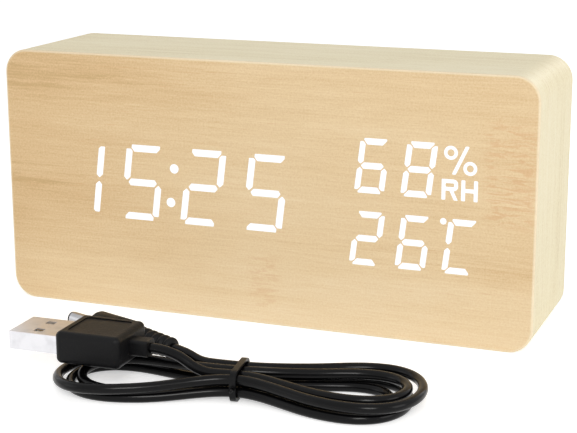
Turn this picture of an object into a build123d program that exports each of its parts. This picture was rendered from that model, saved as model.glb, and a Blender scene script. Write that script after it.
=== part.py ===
from build123d import *
import os
from dataclasses import dataclass
from math import cos, floor, hypot, pi, radians, sin, sqrt, tan

os.makedirs("parts", exist_ok=True)

# Digital desk clock in a veneered wooden block, with its charging lead tied up in front of it.
# Millimetres. X runs along the width, the face looks along -Y, and Z is up from the surface
# that the block stands on. The origin is under the middle of the block.

# Wooden block
case_width = 150.0
case_height = 71.0
case_depth = 40.0
corner_radius = 6.5
arris_radius = 0.4
veneer = 0.5
front_board_thickness = 5.0
frame_wall = 7.5
cavity_corner_radius = 10.0

# Window in the front board, measured from the sides of the cavity behind it
window_left_margin = 6.0
window_right_margin = 3.5
window_bottom_margin = 8.5
window_top_margin = 7.0
window_corner_radius = 2.0
reflector_gap = 0.2

# Back cover, set into a rebate in the rear of the block
cover_thickness = 3.0
cover_recess = 1.5
rebate_width = 3.5
rebate_corner_radius = 3.0
cover_gap = 0.25

# Screws of the cover
cover_screw_inset = 4.3
cover_screw_head = 5.0
cover_screw_head_height = 1.3
cover_screw_shank = 2.5
cover_screw_length = 12.0
screw_slot_width = 0.7
screw_slot_depth = 0.6
screw_clearance = 0.25
thread_clearance = 0.05
cut_overrun = 1.0

# Small screws of the two circuit boards
board_screw_head = 3.6
board_screw_head_height = 1.2
board_screw_shank = 1.8
display_screw_length = 5.2
main_screw_length = 7.0

# Figures of the display, drawn on the face before they lean to the right
slant_share = 0.125
segment_fillet = 0.22
guide_depth = 2.3
time_left_margin = 2.4
time_edge_margin = 9.3
time_row_share = 0.5273
time_gap = 6.55
small_row_share = 0.2651
small_gap = 4.35
small_right_margin = 4.55
small_bottom_margin = 2.82
small_top_margin = 2.98
small_row_gap = 4.8
humidity_shift = 1.25
colon_dot_diameter = 2.6
colon_rise_shares = (0.27, 0.72)
degree_dot_diameter = 1.7
degree_dot_gap = 0.5
degree_rise_share = 0.943

# Percent sign and the two letters beside the humidity. Shares of heights are of the small figures'
# height, and places across are measured from the left of the letters.
sign_tuck = 1.55
ring_height_share = 0.249
ring_bore_share = 0.5
left_ring_place = 2.25
left_ring_rise_share = 0.843
right_ring_place = 7.3
right_ring_rise_share = 0.583
bar_width_share = 0.066
bar_foot_place = 3.05
bar_foot_rise_share = 0.459
bar_head_place = 6.55
bar_head_rise_share = 0.971
letter_height_share = 0.374
letter_width = 4.3
letter_gap = 0.8
letter_stroke_share = 0.194
bowl_height_share = 0.56
bowl_corner_share = 0.397
leg_root_share = 0.36

# Display board behind the window, measured from the sides of the cavity
display_board_left_margin = 2.0
display_board_right_margin = 1.0
display_board_bottom_margin = 2.5
display_board_top_margin = 1.5
board_thickness = 1.2
board_corner_radius = 1.0
display_board_corner_radius = 8.0
display_screw_margin = 2.6
led_side = 0.65
led_height = 0.4

# Main board, on posts of the cover, in the room beside the battery bay
main_board_width_share = 0.7843
main_board_side_margin = 4.0
main_board_edge_margin = 3.0
main_board_standoff = 7.5
main_screw_margin = 3.5
post_diameter = 5.5

# Push buttons
button_row_from_top = 12.0
button_column_shares = (1 / 6, 23 / 60, 3 / 5)
button_diameter = 6.5
button_gap = 0.3
button_proud = 1.2
button_travel = 0.7
button_flange_diameter = 8.5
button_flange_thickness = 1.0
button_flange_gap = 0.1
button_stem_diameter = 4.0
button_edge_fillet = 0.4
switch_side = 6.0
switch_height = 3.5
plunger_diameter = 3.5
plunger_gap = 0.1
plunger_proud = 1.5
plunger_engagement = 1.9

# Power inlet for a round plug
inlet_column_share = 5 / 6
inlet_side = 9.5
inlet_nose_diameter = 7.6
inlet_hole_gap = 0.2
inlet_back_gap = 0.1
inlet_nose_set_back = 0.2
inlet_bore_diameter = 3.9
inlet_bore_depth = 10.0
inlet_pin_diameter = 1.1
inlet_pin_set_back = 1.3

# Parts on the rear of the main board. Shares of columns are of the board's width.
microphone_column_share = 0.55
microphone_from_buttons = 12.0
microphone_diameter = 6.0
microphone_height = 4.5
microphone_hole_diameter = 1.6
buzzer_column_share = 49 / 60
buzzer_rise_share = 0.62
buzzer_diameter = 12.0
buzzer_height = 7.0
buzzer_hole_diameter = 2.0
buzzer_hole_depth = 1.5
sensor_side_margin = 9.5
sensor_bottom_margin = 6.0
sensor_width = 15.0
sensor_height = 12.0
sensor_thickness = 5.5
sensor_slot_width = 1.0
sensor_slot_depth = 1.2
sensor_slot_count = 5
vent_width = 14.0
vent_height = 1.2
vent_pitch = 2.6
vent_count = 5

# Parts on the front of the main board
chip_side = 7.5
chip_thickness = 1.5
chip_column_share = 43 / 60
chip_rise_share = 0.435
crystal_diameter = 3.1
crystal_length = 8.2
crystal_column_share = 7 / 12
crystal_drop = 1.5
holder_wall = 1.5
holder_height = 4.2
holder_side_margin = 5.25
holder_bottom_margin = 4.25
coin_diameter = 20.0
coin_thickness = 3.2
coin_gap = 0.25
holder_notch_width = 7.0

# Ribbon cable between the boards
connector_width = 20.0
connector_height = 4.5
connector_depth = 5.0
connector_side_margin = 4.9
display_connector_drop = 1.5
main_connector_from_top = 7.0
ribbon_width = 18.0
ribbon_thickness = 0.8
ribbon_bend_share = 0.71

# Battery bay for three slim cells, moulded in the cover
bay_side_margin = 2.5
bay_length = 52.0
bay_height = 33.5
bay_depth = 11.5
bay_wall = 1.5
bay_rib_width = 1.0
bay_rib_height = 3.0
bay_rib_length = 38.0
cell_rows = 3
contact_side = 8.0
contact_thickness = 0.4
spring_wire_diameter = 0.6
spring_diameter = 6.0
spring_length = 7.6
spring_turns = 4
spring_gap = 0.05

# Battery door, hinged along its top edge
door_thickness = 2.0
door_ledge = 2.0
door_gap = 0.25
door_seat_gap = 0.1
door_pin_diameter = 1.0
door_pin_length = 1.2
door_pin_gap = 0.1
tongue_width = 12.0
tongue_slit_width = 0.6
tongue_slit_height = 7.0
grip_rib_count = 3
grip_rib_pitch = 1.6
grip_rib_height = 0.6
grip_rib_proud = 0.3
thumb_notch_width = 14.0
thumb_notch_radius = 3.0
thumb_notch_depth = 1.2
thumb_notch_end_share = 0.92

# Wires from the battery bay to the main board
battery_wire_diameter = 1.3
battery_wire_gap = 0.2
battery_wire_level = 6.5
battery_wire_spread = 4.0
battery_wire_landing = 3.0
battery_wire_bend_radius = 2.6

# Charging lead: its place on the surface and the size of the tied hank
cord_diameter = 2.5
hank_x = 17.0
hank_y = -72.0
hank_yaw = 8.0
strand_gap = 0.5
hank_reach = 45.3
hank_half_width = 14.3
hank_spread_length = 42.0
hank_rest_gap = 0.04
hank_tail = 2.5
last_turn_share = 0.035
tie_width = 2.0
tie_thickness = 0.9
tie_clearance = 0.2

# Shares of the hank's reach and half width for its half loops, right and left in turn; only the
# start of the last one is wound
reach_shares = (0.878, 0.86, 0.791, 0.918, 0.884, 0.975, 0.954, 0.981)
half_width_shares = (0.615, 0.54, 0.541, 0.744, 0.883, 1.017, 0.952, 1.015)
# Column and layer of the strands in the tie, counted from the middle and from below
column_shares = (0.5, 0.5, 0.5, 0.5, 1.5, 1.5, 1.5, 1.5, 1.5)
layer_shares = (1.0, 1.0, 0.0, 0.0, 0.0, 0.0, 1.0, 1.0, 1.0)
pinch_share = 0.25
climb_start_share = 0.15
climb_end_share = 0.85
lift_end_share = 0.5
stations_per_half_loop = 6

# Flat plug of the lead
usb_end_x = -22.0
usb_end_y = 0.5
usb_yaw = 173.0
usb_seat_gap = 0.27
usb_boot_length = 4.7
usb_boot_width = 4.3
usb_boot_height = 4.0
usb_boot_fillet = 0.8
usb_grip_length = 16.9
usb_grip_width = 15.5
usb_grip_height = 8.0
usb_grip_fillet = 1.4
usb_panel_margin = 2.2
usb_panel_depth = 0.25
usb_shell_width = 12.0
usb_shell_height = 4.5
usb_shell_wall = 0.3
usb_shell_length = 13.2
usb_shell_buried = 3.0
usb_window_length = 2.3
usb_window_width = 2.0
usb_window_from_tip = 6.7
usb_window_spacing = 5.9
usb_tongue_height = 1.9
usb_tongue_gap = 0.05
usb_tongue_set_back = 0.4
usb_contact_width = 1.0
usb_contact_thickness = 0.15
usb_contact_length = 8.0
usb_contact_pitch = 2.2
usb_contact_count = 4

# Round plug of the lead
dc_end_x = -20.06
dc_end_y = 11.36
dc_end_z = 6.3
dc_yaw = 152.0
dc_pitch = 0.0
relief_length = 12.9
relief_end_diameter = 5.0
relief_root_diameter = 6.4
relief_rib_count = 6
relief_groove_depth = 0.55
dc_body_length = 14.5
dc_body_diameter = 7.8
dc_body_chamfer = 1.0
dc_barrel_diameter = 3.5
dc_barrel_bore = 2.7
dc_barrel_length = 9.0
dc_pin_bore = 1.35
dc_lip_length = 0.6
dc_lip_diameter = 3.3

# Levels along Y, from the face to the back
face = -case_depth / 2
veneer_back = face + veneer
board_back = veneer_back + front_board_thickness
rear = case_depth / 2
cover_outer = rear - cover_recess
cover_inner = cover_outer - cover_thickness
middle_height = case_height / 2
main_board_rear = cover_inner - main_board_standoff
main_board_front = main_board_rear - board_thickness
display_board_rear = board_back + board_thickness
guide_back = veneer_back + guide_depth
door_inner = cover_outer - door_thickness
bay_floor = door_inner - bay_depth

# Half sizes of the cavity and the rebate
cavity_half_width = case_width / 2 - veneer - frame_wall
cavity_half_height = case_height / 2 - veneer - frame_wall
cavity_bottom = middle_height - cavity_half_height
cavity_top = middle_height + cavity_half_height
rebate_half_width = cavity_half_width + rebate_width
rebate_half_height = cavity_half_height + rebate_width

# Window and display board
window_left = window_left_margin - cavity_half_width
window_right = cavity_half_width - window_right_margin
window_bottom = cavity_bottom + window_bottom_margin
window_top = cavity_top - window_top_margin
window_width = window_right - window_left
window_height = window_top - window_bottom
display_board_left = display_board_left_margin - cavity_half_width
display_board_right = cavity_half_width - display_board_right_margin
display_board_bottom = cavity_bottom + display_board_bottom_margin
display_board_top = cavity_top - display_board_top_margin

# Battery bay and door
bay_left = bay_side_margin + bay_wall - cavity_half_width
bay_right = bay_left + bay_length
bay_centre_x = (bay_left + bay_right) / 2
bay_bottom = middle_height - bay_height / 2
bay_top = middle_height + bay_height / 2
door_left = bay_left - door_ledge
door_right = bay_right + door_ledge
door_bottom = bay_bottom - door_ledge
door_axis_z = bay_top + door_ledge - door_thickness / 2
door_axis_y = cover_outer - door_thickness / 2
battery_wire_y = bay_floor + battery_wire_level
battery_wire_levels = (middle_height - battery_wire_spread, middle_height + battery_wire_spread)

# Main board and the places of the parts on it
board_room = cavity_half_width - bay_right - bay_wall
main_board_width = board_room * main_board_width_share
main_board_right = cavity_half_width - main_board_side_margin
main_board_left = main_board_right - main_board_width
main_board_bottom = cavity_bottom + main_board_edge_margin
main_board_top = cavity_top - main_board_edge_margin
button_row_z = main_board_top - button_row_from_top
button_places = [
    (main_board_left + main_board_width * share, button_row_z) for share in button_column_shares
]
inlet_x = main_board_left + main_board_width * inlet_column_share
inlet_z = button_row_z
microphone_x = main_board_left + main_board_width * microphone_column_share
microphone_z = button_row_z - microphone_from_buttons
buzzer_x = main_board_left + main_board_width * buzzer_column_share
buzzer_z = main_board_bottom + (inlet_z - inlet_side / 2 - main_board_bottom) * buzzer_rise_share
sensor_x = main_board_left + sensor_side_margin + sensor_width / 2
sensor_z = main_board_bottom + sensor_bottom_margin + sensor_height / 2
holder_diameter = coin_diameter + 2 * (coin_gap + holder_wall)
holder_x = main_board_right - holder_side_margin - holder_diameter / 2
holder_z = main_board_bottom + holder_bottom_margin + holder_diameter / 2
holder_top = holder_z + holder_diameter / 2
chip_x = main_board_left + main_board_width * chip_column_share
chip_z = holder_top + (main_board_top - holder_top) * chip_rise_share
crystal_x = main_board_left + main_board_width * crystal_column_share
crystal_z = chip_z - crystal_drop
connector_x = main_board_left + connector_side_margin + connector_width / 2
display_connector_z = middle_height - display_connector_drop
main_connector_z = main_board_top - main_connector_from_top


@dataclass(frozen=True)
class FigureSize:
    """Sizes of one seven-part figure before it leans."""

    height: float
    width: float
    stroke: float
    upright_stroke: float
    end_inset: float
    shoulder: float
    foot_inset: float
    upright_inset: float
    upright_flat: float
    waist_gap: float
    tip_inset: float
    tip_run: float


time_row_width = window_width * time_row_share
time_figure = FigureSize(
    height=window_height - 2 * time_edge_margin,
    width=(time_row_width - 3 * time_gap) / 4,
    stroke=1.95,
    upright_stroke=1.9,
    end_inset=1.5,
    shoulder=0.9,
    foot_inset=2.4,
    upright_inset=1.2,
    upright_flat=1.3,
    waist_gap=0.45,
    tip_inset=1.45,
    tip_run=0.75,
)
small_row_width = window_width * small_row_share
small_figure = FigureSize(
    height=(window_height - small_bottom_margin - small_row_gap - small_top_margin) / 2,
    width=(small_row_width - 2 * small_gap) / 3,
    stroke=1.7,
    upright_stroke=1.55,
    end_inset=1.0,
    shoulder=0.5,
    foot_inset=2.0,
    upright_inset=0.88,
    upright_flat=0.85,
    waist_gap=0.38,
    tip_inset=0.95,
    tip_run=0.75,
)
time_left = window_left + time_left_margin
time_base = window_bottom + time_edge_margin
time_pitch = time_figure.width + time_gap
small_pitch = small_figure.width + small_gap
temperature_left = window_right - small_right_margin - small_row_width
temperature_base = window_bottom + small_bottom_margin
humidity_left = temperature_left + humidity_shift
humidity_base = temperature_base + small_figure.height + small_row_gap
sign_left = humidity_left + 2 * small_pitch - sign_tuck
letter_height = small_figure.height * letter_height_share
letter_stroke = letter_height * letter_stroke_share
letter_r_left = sign_left
letter_h_left = letter_r_left + letter_width + letter_gap
letter_base = humidity_base
lit_parts = {"1": "bc", "2": "abdeg", "5": "acdfg", "6": "acdefg", "8": "abcdefg", "C": "adef"}


def plate(outline, front, back):
    """Returns a flat outline of the face made solid between two levels along Y."""
    return extrude(Plane.XZ.offset(-back) * outline, back - front, dir=(0, -1, 0))


def block(left, right, front, back, bottom, top):
    """Returns a box between three pairs of limits."""
    centre = Pos((left + right) / 2, (front + back) / 2, (bottom + top) / 2)
    return centre * Box(right - left, back - front, top - bottom)


def post(diameter, x, z, front, back):
    """Returns a round post along Y."""
    return Pos(x, (front + back) / 2, z) * Rot(X=-90) * Cylinder(diameter / 2, back - front)


def cone(front_diameter, back_diameter, x, z, front, back):
    """Returns a cone along Y."""
    solid = Cone(front_diameter / 2, back_diameter / 2, back - front)
    return Pos(x, (front + back) / 2, z) * Rot(X=-90) * solid


def case_outline(inset):
    """Returns the outline of the block, drawn in by an inset."""
    size = RectangleRounded(case_width - 2 * inset, case_height - 2 * inset, corner_radius - inset)
    return Pos(0, middle_height) * size


def limits_outline(left, right, bottom, top, radius):
    """Returns a rounded rectangle between its limits."""
    centre = Pos((left + right) / 2, (bottom + top) / 2)
    return centre * RectangleRounded(right - left, top - bottom, radius)


def save(name, shape):
    """Writes one node to its file."""
    export_step(shape, f"parts/{name}.step")


def group(solids):
    """Returns separate solids as one node."""
    return Compound(children=[piece for solid in solids for piece in solid.solids()])


# Figures of the display


def mirrored(points, width):
    """Returns an outline mirrored across the figure's width."""
    return [(width - x, z) for x, z in reversed(points)]


def inverted(points, height):
    """Returns an outline mirrored across the figure's height."""
    return [(x, height - z) for x, z in reversed(points)]


def figure_outlines(size):
    """Returns the outline of each of the seven parts of a figure, by its usual letter."""
    waist = size.height / 2
    half = size.stroke / 2
    top = [
        (size.end_inset, size.height - size.shoulder),
        (size.foot_inset, size.height - size.stroke),
        (size.width - size.foot_inset, size.height - size.stroke),
        (size.width - size.end_inset, size.height - size.shoulder),
        (size.width - size.end_inset, size.height),
        (size.end_inset, size.height),
    ]
    middle = [
        (size.tip_inset, waist),
        (size.tip_inset + size.tip_run, waist - half),
        (size.width - size.tip_inset - size.tip_run, waist - half),
        (size.width - size.tip_inset, waist),
        (size.width - size.tip_inset - size.tip_run, waist + half),
        (size.tip_inset + size.tip_run, waist + half),
    ]
    upright_top = size.height - size.upright_inset
    upright_foot = waist + size.waist_gap + size.upright_stroke / 2
    upper_left = [
        (0, upright_foot),
        (size.upright_stroke / 2, waist + size.waist_gap),
        (size.upright_stroke, upright_foot),
        (size.upright_stroke, upright_top - size.upright_stroke + size.upright_flat),
        (size.upright_flat, upright_top),
        (0, upright_top),
    ]
    upper_right = mirrored(upper_left, size.width)
    return {
        "a": top,
        "b": upper_right,
        "c": inverted(upper_right, size.height),
        "d": inverted(top, size.height),
        "e": inverted(upper_left, size.height),
        "f": upper_left,
        "g": middle,
    }


def figure_parts(size, left, base, character):
    """Returns the lit and the unlit parts of a figure as flat faces."""
    lit, unlit = [], []
    for letter, outline in figure_outlines(size).items():
        leaning = [(left + x + slant_share * z, base + z) for x, z in outline]
        flat = make_face(Polyline(*leaning, close=True))
        flat = fillet(flat.vertices(), segment_fillet)
        (lit if letter in lit_parts[character] else unlit).append(flat)
    return lit, unlit


def figure_row(size, left, base, pitch, text):
    """Returns the lit and the unlit parts of a row of figures."""
    lit, unlit = [], []
    for place, character in enumerate(text):
        more_lit, more_unlit = figure_parts(size, left + place * pitch, base, character)
        lit += more_lit
        unlit += more_unlit
    return lit, unlit


def dot(x, z, diameter):
    """Returns a round flat face."""
    return Pos(x, z) * Circle(diameter / 2)


def sign_point(place, rise_share):
    """Returns a point beside the humidity, from its place across and its share of the height."""
    return sign_left + place, humidity_base + small_figure.height * rise_share


def percent_rings():
    """Returns the two rings of the percent sign, each with its hole open and filled."""
    diameter = small_figure.height * ring_height_share
    rings = []
    for x, z in (
        sign_point(left_ring_place, left_ring_rise_share),
        sign_point(right_ring_place, right_ring_rise_share),
    ):
        outer = dot(x, z, diameter)
        rings.append((outer, outer - dot(x, z, diameter * ring_bore_share)))
    return rings


def percent_bar():
    """Returns the leaning bar of the percent sign."""
    foot_x, foot_z = sign_point(bar_foot_place, bar_foot_rise_share)
    head_x, head_z = sign_point(bar_head_place, bar_head_rise_share)
    rise = head_z - foot_z
    across = small_figure.height * bar_width_share / 2
    side = across * hypot(head_x - foot_x, rise) / rise
    points = [
        (foot_x - side, foot_z), (foot_x + side, foot_z), (head_x + side, head_z), (head_x - side, head_z),
    ]
    flat = make_face(Polyline(*points, close=True))
    return fillet(flat.vertices(), segment_fillet)


def letter_r(filled):
    """Returns the letter R, with its bowl open or filled."""
    bowl_height = letter_height * bowl_height_share
    top = letter_base + letter_height
    right = letter_r_left + letter_width
    stem = limits_outline(letter_r_left, letter_r_left + letter_stroke, letter_base, top, segment_fillet)
    corner = bowl_height * bowl_corner_share
    bowl = limits_outline(letter_r_left, right, top - bowl_height, top, corner)
    leg_root = letter_r_left + letter_width * leg_root_share
    leg = make_face(Polyline(
        (leg_root, top - bowl_height + letter_stroke),
        (right - letter_stroke, letter_base),
        (right, letter_base),
        (leg_root + letter_stroke, top - bowl_height + letter_stroke),
        close=True,
    ))
    letter = stem + bowl + leg
    if filled:
        return letter
    hole = limits_outline(
        letter_r_left + letter_stroke, right - letter_stroke,
        top - bowl_height + letter_stroke, top - letter_stroke, segment_fillet,
    )
    return letter - hole


def letter_h():
    """Returns the letter H."""
    top = letter_base + letter_height
    right = letter_h_left + letter_width
    middle = letter_base + letter_height / 2
    left_stem = limits_outline(
        letter_h_left, letter_h_left + letter_stroke, letter_base, top, segment_fillet,
    )
    right_stem = limits_outline(right - letter_stroke, right, letter_base, top, segment_fillet)
    bar = Rectangle(letter_width - letter_stroke, letter_stroke)
    bar = Pos((letter_h_left + right) / 2, middle) * bar
    return left_stem + right_stem + bar


def display_faces():
    """Returns the lit faces of each reading, the unlit faces, and the faces with closed holes."""
    lit_time, unlit = figure_row(time_figure, time_left, time_base, time_pitch, "1525")
    colon_left = time_left + 2 * time_pitch - time_gap / 2
    for share in colon_rise_shares:
        rise = time_figure.height * share
        lit_time.append(dot(colon_left + slant_share * rise, time_base + rise, colon_dot_diameter))
    lit_humidity, more = figure_row(small_figure, humidity_left, humidity_base, small_pitch, "68")
    unlit += more
    lit_humidity += [percent_bar(), letter_h()]
    lit_temperature, more = figure_row(
        small_figure, temperature_left, temperature_base, small_pitch, "26C",
    )
    unlit += more
    rise = small_figure.height * degree_rise_share
    edge = temperature_left + 2 * small_pitch + slant_share * rise
    degree_x = edge - degree_dot_gap - degree_dot_diameter / 2
    lit_temperature.append(dot(degree_x, temperature_base + rise, degree_dot_diameter))
    holed = percent_rings() + [(letter_r(True), letter_r(False))]
    return lit_time, lit_humidity, lit_temperature, unlit, holed


lit_time, lit_humidity, lit_temperature, unlit, holed = display_faces()
lit_plain = lit_time + lit_humidity + lit_temperature
lit_shown = lit_plain + [shown for body, shown in holed]
chamber_faces = lit_plain + unlit + [body for body, shown in holed]


def light_guides(faces):
    """Returns light guides that run from the chambers out to the face of the veneer."""
    return [plate(flat, face, guide_back) for flat in faces]


def holed_guides():
    """Returns the guides whose shown part has a hole, on a full body."""
    guides = []
    for body, shown in holed:
        guides.append(plate(body, veneer_back, guide_back) + plate(shown, face, veneer_back))
    return guides


# Wooden block


def front_veneer():
    """Returns the thin wooden skin of the face, cut through at the lit parts."""
    skin = plate(case_outline(0), face, veneer_back)
    skin = fillet(skin.faces().sort_by(Axis.Y)[0].edges(), arris_radius)
    return skin - [plate(flat, face - cut_overrun, veneer_back) for flat in lit_shown]


def wrapped_veneer():
    """Returns the skin of the four sides as one ring."""
    ring = plate(case_outline(0), veneer_back, rear)
    ring = fillet(ring.faces().sort_by(Axis.Y)[-1].edges(), arris_radius)
    return ring - plate(case_outline(veneer), veneer_back - cut_overrun, rear + cut_overrun)


def base_strip():
    """Returns the space between the two bottom corners that the strip underneath fills."""
    half = case_width / 2 - corner_radius
    return block(-half, half, veneer_back - cut_overrun, rear + cut_overrun, -cut_overrun, corner_radius)


def side_veneer():
    """Returns the skin that runs up one side, over the top and down the other side."""
    return wrapped_veneer() - base_strip()


def base_veneer():
    """Returns the strip of skin underneath, which the block stands on."""
    return wrapped_veneer() & base_strip()


def display_screw_places():
    """Returns where the display board is screwed to the front board."""
    inset = display_screw_margin
    left = display_board_left + inset
    right = display_board_right - inset
    low = display_board_bottom + inset
    high = display_board_top - inset
    columns = (left + inset, (left + right) / 2, right - inset)
    return [(x, z) for x in columns for z in (low, high)]


def front_board():
    """Returns the board behind the face, with the window for the display."""
    board = plate(case_outline(veneer), veneer_back, board_back)
    window = limits_outline(window_left, window_right, window_bottom, window_top, window_corner_radius)
    board -= plate(window, veneer_back - cut_overrun, board_back + cut_overrun)
    tip = display_board_rear - display_screw_length
    holes = [
        post(board_screw_shank + 2 * thread_clearance, x, z, tip - thread_clearance, board_back)
        for x, z in display_screw_places()
    ]
    return board - holes


def cover_screw_places():
    """Returns the four corners where the cover is screwed on."""
    x = rebate_half_width - cover_screw_inset
    z = rebate_half_height - cover_screw_inset
    return [(side * x, middle_height + level * z) for side in (-1, 1) for level in (-1, 1)]


def case_frame():
    """Returns the hollow middle of the block, with a rebate for the cover."""
    frame = plate(case_outline(veneer), board_back, rear)
    cavity = RectangleRounded(2 * cavity_half_width, 2 * cavity_half_height, cavity_corner_radius)
    frame -= plate(Pos(0, middle_height) * cavity, board_back - cut_overrun, rear + cut_overrun)
    rebate = RectangleRounded(2 * rebate_half_width, 2 * rebate_half_height, rebate_corner_radius)
    frame -= plate(Pos(0, middle_height) * rebate, cover_inner, rear + cut_overrun)
    tip = cover_outer - cover_screw_length - thread_clearance
    diameter = cover_screw_shank + 2 * thread_clearance
    return frame - [post(diameter, x, z, tip, rear) for x, z in cover_screw_places()]


# Screws


def cover_screw(x, z):
    """Returns one countersunk screw with a cross slot."""
    head_floor = cover_outer - cover_screw_head_height
    screw = cone(cover_screw_shank, cover_screw_head, x, z, head_floor, cover_outer)
    screw += post(cover_screw_shank, x, z, cover_outer - cover_screw_length, head_floor)
    return screw - cross_slot(x, z, cover_screw_head / 2, cover_outer, 1)


def cross_slot(x, z, length, surface, outward):
    """Returns the two crossed slots that are cut in a screw head."""
    front, back = sorted((surface - outward * screw_slot_depth, surface + outward * cut_overrun))
    half = length / 2
    thin = screw_slot_width / 2
    flat = block(x - half, x + half, front, back, z - thin, z + thin)
    return flat + block(x - thin, x + thin, front, back, z - half, z + half)


def board_screw(x, z, seat, length, inward):
    """Returns one round-headed screw, its head on the seat and its shank running inward."""
    top = seat - inward * board_screw_head_height
    head = post(board_screw_head, x, z, *sorted((seat, top)))
    shank = post(board_screw_shank, x, z, *sorted((seat, seat + inward * length)))
    return head + shank - cross_slot(x, z, board_screw_head / 2, top, -inward)


# Display


def display_reflector():
    """Returns the white block with a light chamber behind every part of every figure."""
    outline = limits_outline(
        window_left + reflector_gap, window_right - reflector_gap,
        window_bottom + reflector_gap, window_top - reflector_gap, window_corner_radius,
    )
    body = plate(outline, veneer_back, board_back)
    through = (veneer_back - cut_overrun, board_back + cut_overrun)
    return body - [plate(flat, *through) for flat in chamber_faces]


def display_board():
    """Returns the board that closes the chambers."""
    outline = limits_outline(
        display_board_left, display_board_right, display_board_bottom, display_board_top,
        display_board_corner_radius,
    )
    board = plate(outline, board_back, display_board_rear)
    diameter = board_screw_shank + screw_clearance
    return board - [
        post(diameter, x, z, board_back - cut_overrun, display_board_rear + cut_overrun)
        for x, z in display_screw_places()
    ]


def display_leds():
    """Returns one lamp in the middle of every chamber."""
    lamps = []
    for flat in chamber_faces:
        middle = flat.faces()[0].center()
        half = led_side / 2
        lamps.append(block(
            middle.X - half, middle.X + half, board_back - led_height, board_back,
            middle.Y - half, middle.Y + half,
        ))
    return lamps


# Back cover


def bay_row_levels():
    """Returns the height of the middle of each cell row."""
    pitch = bay_height / cell_rows
    return [middle_height + (row - (cell_rows - 1) / 2) * pitch for row in range(cell_rows)]


def main_screw_places():
    """Returns where the main board is screwed to the posts of the cover."""
    inset = main_screw_margin
    columns = (main_board_left + inset, main_board_right - inset)
    rows = (main_board_bottom + inset, main_board_top - inset)
    return [(x, z) for x in columns for z in rows]


def round_along_x(diameter, left, right, y, z):
    """Returns a round bar along X."""
    return Pos((left + right) / 2, y, z) * Rot(Y=90) * Cylinder(diameter / 2, right - left)


def cover_cuts():
    """Returns everything that is cut through or into the cover."""
    through = (cover_inner - cut_overrun, cover_outer + cut_overrun)
    cuts = [
        block(
            door_left - door_gap, door_right + door_gap,
            door_inner - door_seat_gap, cover_outer + cut_overrun,
            door_bottom - door_gap, door_axis_z + door_thickness / 2 + door_gap,
        ),
        block(bay_left, bay_right, bay_floor, cover_outer, bay_bottom, bay_top),
        post(inlet_nose_diameter + 2 * inlet_hole_gap, inlet_x, inlet_z, *through),
        post(microphone_hole_diameter, microphone_x, microphone_z, *through),
        thumb_notch(),
    ]
    cuts += [post(button_diameter + 2 * button_gap, x, z, *through) for x, z in button_places]
    for place in range(vent_count):
        z = sensor_z + (place - (vent_count - 1) / 2) * vent_pitch
        slot = Pos(sensor_x, z) * SlotOverall(vent_width, vent_height)
        cuts.append(plate(slot, *through))
    head_floor = cover_outer - cover_screw_head_height
    grown = 2 * thread_clearance
    for x, z in cover_screw_places():
        cuts.append(post(cover_screw_shank + screw_clearance, x, z, *through))
        cuts.append(
            cone(cover_screw_shank + grown, cover_screw_head + grown, x, z, head_floor, cover_outer)
        )
    pin_hole = door_pin_diameter + 2 * door_pin_gap
    reach = door_gap + door_pin_length
    cuts.append(round_along_x(pin_hole, door_left - reach, door_right + reach, door_axis_y, door_axis_z))
    pilot = board_screw_shank + 2 * thread_clearance
    pilot_end = main_board_front + main_screw_length + thread_clearance
    cuts += [post(pilot, x, z, main_board_rear, pilot_end) for x, z in main_screw_places()]
    wire_hole = battery_wire_diameter + 2 * battery_wire_gap
    for z in battery_wire_levels:
        cuts.append(round_along_x(wire_hole, bay_right, bay_right + bay_wall, battery_wire_y, z))
    return cuts


def thumb_notch():
    """Returns the scoop below the door for a fingertip."""
    outline = Pos(bay_centre_x, door_bottom) * RectangleRounded(
        thumb_notch_width, 2 * thumb_notch_radius, thumb_notch_radius * thumb_notch_end_share,
    )
    return plate(outline, cover_outer - thumb_notch_depth, cover_outer + cut_overrun)


def back_cover():
    """Returns the moulded cover with the battery bay and the posts of the main board."""
    outline = RectangleRounded(
        2 * (rebate_half_width - cover_gap), 2 * (rebate_half_height - cover_gap),
        rebate_corner_radius - cover_gap,
    )
    cover = plate(Pos(0, middle_height) * outline, cover_inner, cover_outer)
    cover += block(
        bay_left - bay_wall, bay_right + bay_wall, bay_floor - bay_wall, cover_inner,
        bay_bottom - bay_wall, bay_top + bay_wall,
    )
    cover += [post(post_diameter, x, z, main_board_rear, cover_inner) for x, z in main_screw_places()]
    cover -= cover_cuts()
    levels = bay_row_levels()
    half_length = bay_rib_length / 2
    for lower, upper in zip(levels, levels[1:]):
        z = (lower + upper) / 2
        half = bay_rib_width / 2
        cover += block(
            bay_centre_x - half_length, bay_centre_x + half_length,
            bay_floor, bay_floor + bay_rib_height, z - half, z + half,
        )
    return cover


def battery_door():
    """Returns the door with its rounded hinge edge, pins, spring tongue and grip ribs."""
    door = block(door_left, door_right, door_inner, cover_outer, door_bottom, door_axis_z)
    door += round_along_x(door_thickness, door_left, door_right, door_axis_y, door_axis_z)
    pins_left = door_left - door_pin_length
    pins_right = door_right + door_pin_length
    door += round_along_x(door_pin_diameter, pins_left, pins_right, door_axis_y, door_axis_z)
    for side in (-1, 1):
        x = bay_centre_x + side * tongue_width / 2
        half = tongue_slit_width / 2
        door -= block(
            x - half, x + half, door_inner - cut_overrun, cover_outer + cut_overrun,
            door_bottom - cut_overrun, door_bottom + tongue_slit_height,
        )
    rib_half = tongue_width / 2 - 2 * tongue_slit_width
    for place in range(grip_rib_count):
        z = door_bottom + grip_rib_pitch * (place + 1)
        door += block(
            bay_centre_x - rib_half, bay_centre_x + rib_half,
            cover_outer, cover_outer + grip_rib_proud, z, z + grip_rib_height,
        )
    return door


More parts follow.
